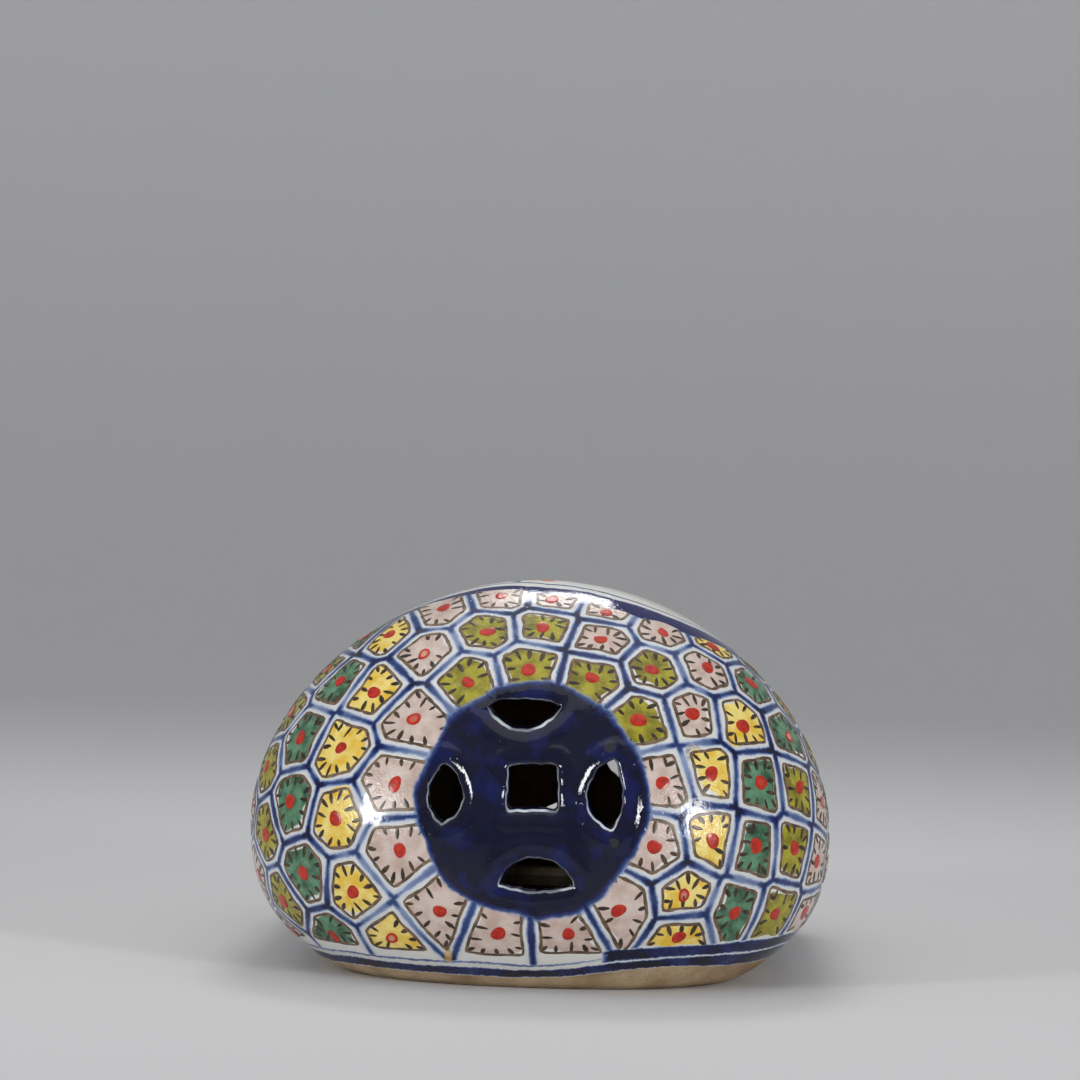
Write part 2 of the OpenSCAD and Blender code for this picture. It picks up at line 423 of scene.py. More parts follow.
def noise(place, scale, detail, shift):
    if shift:
        place = moved(place, (shift, shift * 0.7, -shift))
    return out(place.tree, "ShaderNodeTexNoise", {"Vector": place, "Scale": scale, "Detail": detail})


def cloud(place, name):
    found, spread = noise(place, *clouds[name][:3]), clouds[name][3:]
    return found.between(*spread) if spread else found


def blotch(place, name):
    return ease(*blotches[name][3:], noise(place, *blotches[name][:3]))


# Glaze, cobalt and clay
glaze = {
    "white": tint(223, 223, 220),
    "warmWhite": tint(224, 221, 212),
    "paleBlue": tint(148, 164, 196),
    "midBlue": tint(48, 72, 124),
    "deepBlue": tint(13, 24, 84),
    "inkBlue": tint(4, 7, 38),
    # thin glaze on the holes' rims, whitened further as a painted highlight
    "rimWhiteAndHighlight": tint(218, 226, 232),
    "biscuit": tint(200, 178, 144),
    "biscuitDark": tint(146, 113, 78),
    "grainInk": 0.45,
    "pitDepth": 0.2,
    "craterDepth": 0.5,
    "scar": tint(54, 52, 46),
    "scarInk": 0.75,
    "scarRagged": (-0.8, 0.8),
    "scarSoft": (0.4, 0.5),         # blur inside and outside the edge
    "run": (-23.0, 9.6, 1.2, 3.0),  # x, z, half width and half height
    "runTint": tint(206, 164, 70),
    "runEdge": (0.5, 1.2),
    "runRagged": (-0.7, 0.7),
    "marksInk": 0.7,                # of the run and the blister
    "coinR": 32.5,
    "coinEdge": (30.8, 34.1),       # its cobalt fades out between these radii
    "coinZ": 55.0,
    "scars": ((21.2, 70.5, 1.7), (23.3, 44.0, 1.2)),  # x, z and size of firing scars on the medallion
    "blister": (45.0, 69.0, 2.3),                     # and of a grey one on the body
    "blisterPale": tint(186, 184, 178),
    "blisterDark": tint(104, 100, 94),
    "blisterMix": (0.4, 0.6),
    "nearEnd": (-60.0, -50.0),      # the run and the blister fade out between these, along Y
    "inkFrom": (0.0, 0.12),         # thinner cobalt than this lets the warm white show
    "cobaltShine": 0.4,
}
inkStops = {"white": 0.0, "paleBlue": 0.22, "midBlue": 0.58, "deepBlue": 0.86, "inkBlue": 1.0}
# white on the holes' rims: thin glaze, plus a painted highlight on the lips that face up under each hole
holeRimPaint = {
    "half": (0.05, 0.3),
    "more": 0.18,               # the whitest rims, where the painted highlight is strongest, are this much broader
    "moreFrom": (0.85, 1.0),
    "fits": (0.3, 1.0),
    "clayFrom": (-6.0, -4.0),   # clay shows deeper in the holes than this
    "clayRagged": (-0.7, 0.7),
}
cobaltLine = {
    "halfWidth": (0.1, 1.6),  # least and most, as the brush swells
    "soft": 0.65,             # half the blur of each edge
    "shake": (-0.3, 0.3),
    "load": 1.5,
    "pool": (-0.14, 0.22),    # colour added away from and at the meeting of lines
    "poolReach": (0.6, 3.4),
    "haze": 0.1,
    "hazeReach": (0.5, 3.4),
}
footPaint = {
    "bareLow": 3.7,      # top of the bare strip on the left
    "bareHigh": 7.4,     # and on the right
    "climb": 34.0,       # it climbs from one to the other over this width
    "lowerBand": 2.4,
    "bandGap": 0.7,
    "upperBand": 3.1,
    "upperFrom": (20.0, 23.0),
    "whiteBelt": 1.6,    # left of the upper band
    "fan": 0.05,         # the bands open out towards the right side
    "soft": (0.3, 0.4),  # half the blur along the gap between the bands, and outside them
    "hairHalf": (0.1, 0.5),
    "hairInk": 0.5,
    "combFrom": (0.0, 0.7),
    "bareSoft": 0.2,
    "bareBrush": 0.8,
    "glazed": (0.2, 1.0),     # share of the clay's roughness, where glazed and where bare
}
panel = {
    "halfW": 68.0,
    "halfL": 68.8,
    "corner": 3.3,
    "lobes": 0.034,
    "lean": -6.5,
    "clear": 1.9,
    "heavy": 2.6,        # the border is heavier on the right of the photographed end
    "heavyX": (-10.0, 20.0),
    "heavyY": (-60.0, -30.0),
    "heavyHalf": 0.7,    # share of that added to half its width, and to its place
    "heavyOut": 0.4,
    "out": 0.6,
    "soft": 0.4,
    "sway": (-0.8, 0.8),
    "swell": 2.4,        # half the border's width grows by up to this, from the least
    "least": 0.4,
    "ink": 0.86,
    "thinLine": 4.0,     # the inner line lies this far inside the border
    "thinHalf": (0.2, 0.5),
    "thinInk": 0.75,
    "combStops": (0.2, 1.2),  # the honeycomb's lines fade out here
}
coinR = glaze["coinR"]


def footLine(x):  # height of the top of the painted bands
    right = smooth(0.0, footPaint["climb"], x)
    bare = footPaint["bareLow"] + (footPaint["bareHigh"] - footPaint["bareLow"]) * right
    bands = footPaint["bandGap"] + footPaint["upperBand"]
    return (bare + footPaint["lowerBand"] + footPaint["fan"] * np.maximum(0, x - footPaint["climb"])
            + bands * right + footPaint["whiteBelt"] * (1 - right))


def coinInk(place):  # cobalt of the round medallion, with an uneven painted edge
    x, _, z = axes(place)
    rise = z - glaze["coinZ"]
    uneven = cloud(place, "coinSway") + cloud(place, "coinBrush")
    return fade(*glaze["coinEdge"], (x * x + rise * rise).root() + uneven)


def footBands(place):  # cobalt bands, bare strip, and where the honeycomb starts
    x, _, z = axes(place)
    right = ease(0.0, footPaint["climb"], x)
    bareTop = right.between(footPaint["bareLow"], footPaint["bareHigh"])
    over = z - (bareTop + cloud(place, "footSway"))
    brush = cloud(place, "footBrush")
    height = over + brush
    lowerTop = (x - footPaint["climb"]).atLeast(0.0) * footPaint["fan"] + footPaint["lowerBand"]
    above = height - lowerTop
    inner, outer = footPaint["soft"]
    lower = ease(0.0, outer, height) * fade(-inner, inner, above)
    gap, top = footPaint["bandGap"], footPaint["bandGap"] + footPaint["upperBand"]
    upper = ease(gap - inner, gap + inner, above) * fade(top - outer, top + outer, above)
    upper = upper * ease(*footPaint["upperFrom"], brush * 3.0 + x)
    hair = fade(*footPaint["hairHalf"], abs(above - footPaint["whiteBelt"]))
    hair = hair * right.between(footPaint["hairInk"], 0.0)
    dry = cloud(place, "footDry").atMost(1.0)
    ink = lower.atLeast(upper).atLeast(hair) * dry
    clear = ease(*footPaint["combFrom"], over - lowerTop - right.between(footPaint["whiteBelt"], top))
    bare = fade(-footPaint["bareSoft"], footPaint["bareSoft"], brush * footPaint["bareBrush"] + over)
    return ink, bare, clear


def inkColour(place, density):
    white = blend(blotch(place, "warmth"), glaze["white"], glaze["warmWhite"])
    washed = ramp(density, [(stop, glaze[name]) for name, stop in inkStops.items()])
    return blend(ease(*glaze["inkFrom"], density), white, washed)


def clayColour(place):
    mixed = blend(blotch(place, "clayStain"), glaze["biscuit"], glaze["biscuitDark"])
    return blend(blotch(place, "clayGrain") * glaze["grainInk"], mixed, glaze["biscuitDark"])


def peelAndPits(place):  # orange peel alone, and the height of it with pits and small craters
    peel = cloud(place, "peel")
    craters = blotch(place, "craters") * glaze["craterDepth"]
    return peel, peel + cloud(place, "pits") * glaze["pitDepth"] - craters


def scarMark(x, z, ragged, scarX, scarZ, size):
    offX, offZ = x - scarX, z - scarZ
    reach = (offX * offX + offZ * offZ).root() + ragged.between(*glaze["scarRagged"])
    inner, outer = glaze["scarSoft"]
    return fade(size - inner, size + outer, reach)


def paintedGlaze(place):
    x, y, z = axes(place)
    nodeDist, panelDist = field(place, "nodeDist"), field(place, "panelDist")
    wide, middle, fine = (cloud(place, name) for name in ("wide", "middle", "fine"))
    # the nearest of the lines between the three cells about each face
    sideAB, sideAC, sideBC = (field(place, name) for name in ("sideAB", "sideAC", "sideBC"))
    sideBA, sideCA, sideCB = (side * -1.0 for side in (sideAB, sideAC, sideBC))
    lineDist = sideBA.atMost(sideBC).atLeast(sideCA.atMost(sideCB)).atLeast(sideAB.atMost(sideAC))
    # honeycomb lines: brush width, soft edges, darker where strokes meet
    edge = lineDist + fine.between(*cobaltLine["shake"]) - middle.between(*cobaltLine["halfWidth"])
    pool = fade(*cobaltLine["poolReach"], nodeDist).between(*cobaltLine["pool"])
    load = (wide * cobaltLine["load"] + pool).atMost(1.0)
    line = fade(-cobaltLine["soft"], cobaltLine["soft"], edge) * load
    haze = fade(*cobaltLine["hazeReach"], lineDist) * cobaltLine["haze"]
    foot, bare, clear = footBands(place)
    line = line.atLeast(haze) * (ease(*panel["combStops"], panelDist) * clear)
    # double border of the headrest panel
    border = panelDist + middle.between(*panel["sway"])
    heavy = ease(*panel["heavyX"], x) * fade(*panel["heavyY"], y) * panel["heavy"]
    half = wide * panel["swell"] + heavy * panel["heavyHalf"] + panel["least"]
    fromMiddle = abs(border - (heavy * panel["heavyOut"] + panel["out"]))
    thick = fade(-panel["soft"], panel["soft"], fromMiddle - half) * panel["ink"]
    thin = fade(*panel["thinHalf"], abs(border + panel["thinLine"])) * panel["thinInk"]
    ink = line.atLeast(coinInk(place)).atLeast(thick.atLeast(thin)).atLeast(foot)
    colour = inkColour(place, ink)
    # a run of yellow and a grey blister on the photographed end
    nearEnd = fade(*glaze["nearEnd"], y)
    runX, runZ = (x - glaze["run"][0]) / glaze["run"][2], (z - glaze["run"][1]) / glaze["run"][3]
    runReach = runX * runX + runZ * runZ + fine.between(*glaze["runRagged"])
    run = fade(*glaze["runEdge"], runReach) * nearEnd
    colour = blend(run * glaze["marksInk"], colour, glaze["runTint"])
    blister = scarMark(x, z, middle, *glaze["blister"]) * nearEnd
    blisterTint = blend(ease(*glaze["blisterMix"], fine), glaze["blisterDark"], glaze["blisterPale"])
    colour = blend(blister * glaze["marksInk"], colour, blisterTint)
    colour = blend(bare, colour, clayColour(place))
    return surface("glaze", colour, *peelAndPits(place), bare)


def cobaltGlaze(place):
    x, _, z = axes(place)
    lipDist, rimGlazeAndHighlight = field(place, "lipDist"), field(place, "rimGlazeAndHighlight")
    fine = cloud(place, "coinFine")
    ink = coinInk(place) * cloud(place, "coinMottle")
    colour = inkColour(place, ink.atMost(1.0))
    for scar in glaze["scars"]:
        colour = blend(scarMark(x, z, fine, *scar) * glaze["scarInk"], colour, glaze["scar"])
    # the glaze runs thin and white over the rims of the holes, and lips facing up under a hole get a painted
    # highlight; bare clay shows deep inside
    away = abs(lipDist + cloud(place, "rimBreaks"))
    rim = fade(*holeRimPaint["half"], away - ease(*holeRimPaint["moreFrom"], rimGlazeAndHighlight) * holeRimPaint["more"])
    fitful = blotch(place, "rimFits").between(*holeRimPaint["fits"])
    colour = blend(rim * (fitful * rimGlazeAndHighlight), colour, glaze["rimWhiteAndHighlight"])
    inside = fade(*holeRimPaint["clayFrom"], lipDist + fine.between(*holeRimPaint["clayRagged"]))
    colour = blend(inside, colour, clayColour(place))
    inputs = surface("cobalt", colour, *peelAndPits(place), inside)
    return {**inputs, "Specular IOR Level": glaze["cobaltShine"]}


def biscuitInside(place):
    grain = cloud(place, "clayBump")
    return surface("clay", clayColour(place), grain, grain)


def biscuitFoot(place):  # the glaze and its bands reach down over the foot
    foot, bare, _ = footBands(place)
    grain = cloud(place, "clayBump")
    inputs = surface("clay", blend(bare, inkColour(place, foot), clayColour(place)), grain, grain)
    inputs["Roughness"] = inputs["Roughness"] * bare.between(*footPaint["glazed"])
    return inputs


bodyGlaze = makeMaterial(paintedGlaze)
coinGlaze = makeMaterial(cobaltGlaze)
footClay = makeMaterial(biscuitFoot)
innerClay = makeMaterial(biscuitInside)
print("glaze and clay materials made")

# Walls: a fine net over each half, from the foot up to the headrest
wallNet = {
    "step": 1.2,         # between columns, round the belly
    "rows": 112,
    "restW": 128.0,      # the headrest's opening in plan, and the power of its rounding
    "restL": 140.0,
    "restM": 4.0,
    "capCuts": 1441,     # points on the curves before they are spaced evenly
    "lowCuts": 80,
    "highCuts": 161,
    "innerGap": -0.09,   # body gap of points that belong to the inner face
}


def capPoints(angle):
    power = 2 / form["planN"]
    return np.stack([halfW * signedPower(np.cos(angle), power),
                     -midK - form["endDepth"] * signedPower(np.sin(angle), power)], -1)


def halfRim(step):
    straight = np.linspace(0, midK, round(midK / step) + 1)[:-1]
    cap = capPoints(np.linspace(0, np.pi, wallNet["capCuts"]))
    right = np.stack([np.full_like(straight, halfW), -straight], -1)
    left = (right * (-1, 1))[::-1]
    edge = np.concatenate([right, evenly(cap, step=step), left])
    spine = np.stack([np.zeros(len(edge)), np.maximum(edge[:, 1], -midK)], -1)
    return edge, spine


def restShare(points):
    m = wallNet["restM"]
    return ((np.abs(points[..., 0]) * 2 / wallNet["restW"]) ** m
            + (np.abs(points[..., 1]) * 2 / wallNet["restL"]) ** m) ** (1 / m)


def openShare(edge, spine):  # how far out from the spine the headrest opening is
    low, high, way = np.zeros(len(edge)), np.ones(len(edge)), edge - spine
    return halve(low, high, lambda middle: restShare(spine + middle[:, None] * way) < 1, turns=40)


def wallFace(off):
    full = 1 / reachAndPower(rimEdge[:, 0], rimEdge[:, 1], off)[0]
    heights = np.linspace(form["baseT"], bellyZ, wallNet["lowCuts"])
    turns = np.linspace(0, np.pi / 2, wallNet["highCuts"])[1:]
    net = []
    for e, s, f, t in zip(rimEdge, rimSpine, full, rimStop):
        low = np.column_stack([s + (underShare(heights) * f)[:, None] * (e - s), heights])
        high = onTop(s + (t + (f - t) * np.cos(turns))[:, None] * (e - s), off)
        net.append(evenly(np.concatenate([low, high]), wallNet["rows"]))
    return np.array(net)


def bothHalves(points):  # the near half's points, then the far half's
    return np.concatenate([points[:-1], -points[:-1]])


rimEdge, rimSpine = halfRim(wallNet["step"])
rimStop = openShare(rimEdge, rimSpine)
outerFace, innerFace = wallFace(0.0), wallFace(form["wall"])
columns, rows = outerFace.shape[:2]
outerSkin = glazeSkin(outerFace, bodyNormal(outerFace))


def netBorder(columns, rows):
    net = np.arange(columns * rows).reshape(columns, rows)
    return np.concatenate([net[:, 0], net[-1, 1:], net[-2::-1, -1], net[0, -2:0:-1]]).tolist()


innerStart = columns * rows
wallVerts = np.concatenate([outerSkin.reshape(-1, 3), innerFace.reshape(-1, 3)])
outerQuads = netFaces(columns, rows)
clayQuads = flipped(netFaces(columns, rows, innerStart))
wallBorder = netBorder(columns, rows)
clayQuads += bridge(wallBorder, [innerStart + k for k in wallBorder])
wallSlots = [0] * len(outerQuads) + [1] * len(clayQuads)
wallBlank = addMesh("wallBlank", wallVerts, outerQuads + clayQuads, [bodyGlaze, innerClay], slots=wallSlots)
print("wall net", columns, "x", rows)

# Round opening for the medallion, cut with a bar along Y
opening = {"segments": 240, "front": -140.0, "back": -72.0}
turn = circleOf(opening["segments"])
circle = np.stack([coinR * np.cos(turn), glaze["coinZ"] + coinR * np.sin(turn)], -1)
barVerts = [(x, y, z) for y in (opening["front"], opening["back"]) for x, z in circle]
barEnds = [tuple(range(start, start + len(circle))) for start in (0, len(circle))]
openingBar = addMesh("openingBar", barVerts, ringFaces(2, len(circle)) + barEnds, [innerClay])
cutter = wallBlank.modifiers.new("opening", "BOOLEAN")
cutter.operation = "DIFFERENCE"
cutter.solver = "EXACT"
cutter.object = openingBar
cutWall = evaluated(wallBlank)
cutVerts = readVectors(cutWall.vertices, "co") / mm
cutFaces = [tuple(face.vertices) for face in cutWall.polygons]
cutSlots = [face.material_index for face in cutWall.polygons]
for spare in (wallBlank, openingBar):
    bpy.data.objects.remove(spare)
print("opening cut, faces", len(cutFaces))

# Painted honeycomb: rings of cells round each medallion, then the long sides filled between them
honeycomb = {
    "counts": (13, 18, 22, 27),
    "phases": (9.8, 8.6, 5.0, 3.0),        # degrees, from the right
    "reaches": (38.8, 56.5, 73.5, 88.5),   # along the skin from the middle of the medallion
    "lean": (4.5, 4.5, 7.0, 6.0),          # rings reach further towards the upper left
    "leanTo": 138.0,
    "below": 4.5,        # and further down below the medallion
    "belowPower": 1.5,
    "farTurn": 11.0,
    "jitter": 1.1,
    "jitterOut": 1.6,    # times as much outwards
    "overPanel": 4.0,    # cells may have their middle this far inside the panel's border
    "coinRoom": 2.0,     # the fill keeps this far off the medallion
    "footTuck": 3.0,     # goes this far below the lowest middles
    "panelRoom": 0.5,    # and keeps this far off the panel
    "heldRings": 3,      # these move little as the cells even out
    "sideGap": 12.6,     # widest gap left unfilled on the long sides
    "endGap": 15.5,      # and over the domed ends
    "sideRun": 58.0,
    "underRun": 36.0,
    "underRoom": 5.0,
    "lowRoom": 1.0,      # room over the bands beyond that run
    "relaxTurns": 6,
    "ringShare": 0.2,    # how much of each move the rings take part in
    "lineHalf": 1.1,
    "whiteGap": 1.45,
    "footRoom": 2.8,     # white left under the lowest cells, except over the upper band
    "footRoomX": (12.0, 26.0),
    "pitch": 16.5,
    "topShift": 2.6,     # cells over the top take the colour of a ring nearer the medallion
    "topTurn": 10.0,
    "topPower": 1.2,
    "topRound": 0.2,
    "slip": (1, 3),      # ring and place of a cell painted out of turn
    "linkGap": 24.0,     # cells nearer than this are neighbours in the order of colours
    "linkTurns": 12,
    "seed": 7,
}
random = np.random.default_rng(honeycomb["seed"])


def panelShare(points):  # 1 on the painted border of the headrest panel
    c, s = math.cos(math.radians(panel["lean"])), math.sin(math.radians(panel["lean"]))
    x, y, power = points[..., 0], points[..., 1], panel["corner"]
    u, v = (x * c + y * s) / panel["halfW"], (y * c - x * s) / panel["halfL"]
    lobes = 1 + panel["lobes"] * np.cos(4 * np.arctan2(v, u))
    return (np.abs(u) ** power + np.abs(v) ** power) ** (1 / power) * lobes


def panelDistance(points):  # from that border, above zero outside
    slope = slopeOf(panelShare, points[..., :2], step=0.05)
    return (panelShare(points) - 1) / np.maximum(np.hypot(slope[..., 0], slope[..., 1]), 1e-4)


def walkFromCoin(angles, reaches, step=0.5):  # along the skin, in the plane through the medallion's axis
    level = np.zeros(len(angles))
    heading = np.stack([np.cos(angles), level, np.sin(angles)], -1)
    side = np.stack([-np.sin(angles), level, np.cos(angles)], -1)
    start = np.array([0.0, endY(np.zeros(1), np.full(1, glaze["coinZ"]))[0], glaze["coinZ"]])
    points = np.tile(start, (len(angles), 1))
    left = np.array(reaches, float)
    while left.max() > 0:
        tangent = unit(np.cross(unit(bodySlope(points)), side))
        heading = tangent * np.sign((tangent * heading).sum(-1, keepdims=True))
        stride = np.minimum(step, np.maximum(left, 0))
        points = points + heading * stride[:, None]
        slope = bodySlope(points)
        points = points - slope * (bodyGap(points) / (slope ** 2).sum(-1))[:, None]
        points = points - side * ((points - start) * side).sum(-1, keepdims=True)
        left -= stride
    return points


def lowestCell(x):  # under the medallion the first ring reaches right down to the bands
    under = np.abs(x) < honeycomb["underRun"]
    return footLine(x) + np.where(under, honeycomb["underRoom"], honeycomb["lowRoom"])


def ringCells(flip, ring):  # middles of one ring's cells, and their places in the order of colours
    count, reach = honeycomb["counts"][ring], honeycomb["reaches"][ring]
    turnBy = honeycomb["phases"][ring] + (0 if flip > 0 else honeycomb["farTurn"])
    angles = np.radians(turnBy + 360 / count * np.arange(count))
    wave = random.uniform(-1, 1, (2, count)) * honeycomb["jitter"]
    reaches = reach + honeycomb["jitterOut"] * wave[0]
    reaches += honeycomb["lean"][ring] * np.cos(angles - math.radians(honeycomb["leanTo"]))
    reaches += honeycomb["below"] * np.maximum(0, -np.sin(angles)) ** honeycomb["belowPower"]
    found = walkFromCoin(angles + wave[1] / reach, reaches)
    found[:, 1] *= flip
    keep = found[:, 2] > lowestCell(found[:, 0])
    keep &= panelDistance(found) > -honeycomb["overPanel"]
    overTop = np.maximum(0, np.sin(angles + math.radians(honeycomb["topTurn"]))) ** honeycomb["topPower"]
    shift = np.floor(honeycomb["topShift"] * overTop + honeycomb["topRound"])
    steps = np.maximum(0, ring + 1 - shift)
    if ring == honeycomb["slip"][0]:
        steps[honeycomb["slip"][1]] += 1
    return found[keep].tolist(), steps[keep].tolist()


def squaresTo(points, spots):  # squares of the distances, a row for each point
    return ((points[:, None] - spots[None]) ** 2).sum(-1)


centres, stepOfCell, heldCells = [], [], []
for flip in ends.values():
    for ring in range(len(honeycomb["counts"])):
        found, steps = ringCells(flip, ring)
        centres += found
        stepOfCell += steps
        heldCells += [ring < honeycomb["heldRings"]] * len(found)
centres = np.array(centres)

samples = outerFace[::3, ::3].reshape(-1, 3)
samples = np.concatenate([samples, samples * (1, -1, 1)])
coinGap = np.hypot(samples[:, 0], samples[:, 2] - glaze["coinZ"]) - coinR
paintable = coinGap > honeycomb["coinRoom"]
paintable &= samples[:, 2] > lowestCell(samples[:, 0]) - honeycomb["footTuck"]
paintable &= panelDistance(samples) > honeycomb["panelRoom"]
samples = samples[paintable]
nearest = squaresTo(samples, centres).min(1)
onSide = np.abs(samples[:, 1]) < honeycomb["sideRun"]
widest = np.where(onSide, honeycomb["sideGap"], honeycomb["endGap"]) ** 2
while (nearest / widest).max() > 1:
    centre = samples[(nearest / widest).argmax()]
    centres = np.vstack([centres, centre])
    heldCells.append(False)
    nearest = np.minimum(nearest, ((samples - centre) ** 2).sum(-1))
for relaxTurn in range(honeycomb["relaxTurns"]):
    owner = squaresTo(samples, centres).argmin(1)
    for k, held in enumerate(heldCells):
        own = samples[owner == k]
        if len(own):
            centres[k] += (own.mean(0) - centres[k]) * (honeycomb["ringShare"] if held else 1)
    centres = ontoBody(centres, bodyNormal(centres))
# every cell's place in the order of colours, counted outwards from its medallion
gaps = np.linalg.norm(centres[:, None] - centres[None], axis=-1)
loose = np.arange(len(centres)) >= len(stepOfCell)
stepOfCell = np.array(stepOfCell + [farOff] * int(loose.sum()))
for linkTurn in range(honeycomb["linkTurns"]):
    linked = stepOfCell[None] + gaps / honeycomb["pitch"]
    linked = np.where(gaps < honeycomb["linkGap"], linked, farOff).min(1)
    stepOfCell = np.where(loose, np.minimum(stepOfCell, linked), stepOfCell)
print("honeycomb cells", len(centres))


def nearestCells(points, count, batch=6000):  # the nearest cells in order, and squares of their distances
    cells, squares = [], []
    for first in range(0, len(points), batch):
        square = squaresTo(points[first:first + batch], centres)
        near = np.argpartition(square, count, axis=1)[:, :count]
        near = np.take_along_axis(near, np.take_along_axis(square, near, 1).argsort(1), 1)
        cells.append(near)
        squares.append(np.take_along_axis(square, near, 1))
    return np.concatenate(cells), np.concatenate(squares)


def paintFields(points):  # distances to where the honeycomb's lines meet and to the panel's border
    cells, squares = nearestCells(points, count=7)
    apart = np.linalg.norm(centres[cells[:, 1:]] - centres[cells[:, :1]], axis=-1)
    toNodes = np.sort((squares[:, 1:] - squares[:, :1]) / (2 * apart), axis=1)[:, 1]
    return {"nodeDist": toNodes, "panelDist": panelDistance(points)}


def addSides(piece, points):  # signed distances to the lines between the three cells nearest each face
    mesh = piece.data
    corners, sizes = np.empty(len(mesh.loops), int), np.empty(len(mesh.polygons), int)
    mesh.loops.foreach_get("vertex_index", corners)
    mesh.polygons.foreach_get("loop_total", sizes)
    faceOf = np.repeat(np.arange(len(sizes)), sizes)
    middles = np.zeros((len(sizes), 3))
    spots = points[corners]
    np.add.at(middles, faceOf, spots)
    trios = nearestCells(middles / sizes[:, None], count=3)[0][faceOf]
    for name, first, second in (("sideAB", 0, 1), ("sideAC", 0, 2), ("sideBC", 1, 2)):
        a, b = centres[trios[:, first]], centres[trios[:, second]]
        ahead = ((spots - b) ** 2).sum(-1) - ((spots - a) ** 2).sum(-1)
        layer = mesh.attributes.new(name, "FLOAT", "CORNER")
        layer.data.foreach_set("value", (ahead / (2 * np.linalg.norm(b - a, axis=-1))).astype(np.float32))


def addGlazed(name, verts, faces, facing, slots):  # painted outside, clay inside
    piece = addMesh(name, verts, faces, [bodyGlaze, innerClay], paintFields(verts), facing, slots)
    addSides(piece, verts)
    return piece


standsFor = {}  # each solid's node to the piece that stands for it, and its slot
for end, flip in ends.items():
    verts = cutVerts * (1, flip, 1)
    facing = bodyNormal(verts)
    innerSide = bodyGap(verts) < wallNet["innerGap"]
    facing[innerSide] = -bodyNormal(verts[innerSide], form["wall"])
    piece = addGlazed(end + "Wall", verts, cutFaces if flip > 0 else flipped(cutFaces), facing, cutSlots)
    standsFor[end + "_wall"] = (piece, "painted_glaze")
print("walls made")

# Headrest plate: rings of points from the opening's edge to the middle
plate = {"rings": 44, "joint": 0.03}
plateRing = bothHalves(rimSpine + rimStop[:, None] * (rimEdge - rimSpine))
plateRing *= (1 - plate["joint"] / np.linalg.norm(plateRing, axis=1))[:, None]
shares = np.linspace(1, 0, plate["rings"] + 1)[:-1]
flat = np.concatenate([plateRing * share for share in shares] + [np.zeros((1, 2))])
upperFace, lowerFace = onTop(flat), onTop(flat, form["wall"])
upperNormals = bodyNormal(upperFace)
half, ringCount = len(flat), len(plateRing)
upperFaces = ringFaces(plate["rings"], ringCount, 0, half - 1)
clayFaces = [tuple(half + v for v in face) for face in flipped(upperFaces)]
clayFaces += [(a, half + a, half + b, b) for a, b in ringPairs(ringCount)]
plateSlots = [0] * len(upperFaces) + [1] * len(clayFaces)
plateVerts = np.concatenate([glazeSkin(upperFace, upperNormals), lowerFace])
plateFacing = np.concatenate([upperNormals, -bodyNormal(lowerFace, form["wall"])])
headrest = addGlazed("headrestPlate", plateVerts, upperFaces + clayFaces, plateFacing, plateSlots)
standsFor["headrest"] = (headrest, "white_glaze")
print("headrest made")

# Base slab: bare clay with a rounded, slightly uneven lower edge
slab = {"round": 2.0, "levels": 7, "upperLevels": 5, "uneven": 0.5, "waves": 2.3}
fullEdge, fullSpine = bothHalves(rimEdge), bothHalves(rimSpine)
outwards = unit(fullEdge - fullSpine)
bow = np.linspace(0, np.pi / 2, slab["levels"])
upright = np.linspace(slab["round"], form["baseT"], slab["upperLevels"] + 1)[1:]
slabZ = np.concatenate([slab["round"] * (1 - np.cos(bow)), upright])
slabIn = np.concatenate([slab["round"] * (1 - np.sin(bow)), np.zeros(len(upright))])
slabTilt = np.concatenate([bow, np.full(len(upright), np.pi / 2)])
slabVerts, slabFacing = [], []
for z, inset, tilt in zip(slabZ, slabIn, slabTilt):
    ringPoints = fullSpine + underShare(z) * (fullEdge - fullSpine)
    ringPoints = np.column_stack([ringPoints, np.full(len(fullEdge), z)])
    sideFacing = bodyNormal(ringPoints)
    glazed = glazeSkin(ringPoints, sideFacing)  # meets the lower edge of the walls
    worn = slab["uneven"] * (0.5 + 0.5 * handWave(ringPoints * slab["waves"])) + form["skinIn"] + inset
    ringPoints[:, :2] -= outwards * worn[:, None]
    settle = smooth(slab["round"], form["baseT"], z)
    slabVerts.append(ringPoints * (1 - settle) + glazed * settle)
    slabFacing.append(unit(sideFacing * math.sin(tilt) + np.array([0, 0, -1.0]) * math.cos(tilt)))
slabVerts = np.concatenate(slabVerts + [[[0, 0, 0]], [[0, 0, form["baseT"]]]])
slabFacing = np.concatenate(slabFacing + [[[0, 0, -1.0]], [[0, 0, 1.0]]])
slabCount = len(fullEdge)
underFaces = [(b, a, len(slabVerts) - 2) for a, b in ringPairs(slabCount)]
slabFaces = underFaces + ringFaces(len(slabZ), slabCount, 0, len(slabVerts) - 1)
slabSlots = [0] * (len(slabFaces) - slabCount) + [1] * slabCount  # clay on the fan inside
baseSlab = addMesh("baseSlab", slabVerts, slabFaces, [footClay, innerClay], None, slabFacing, slabSlots)
standsFor["base_slab"] = (baseSlab, "biscuit")
print("base made")

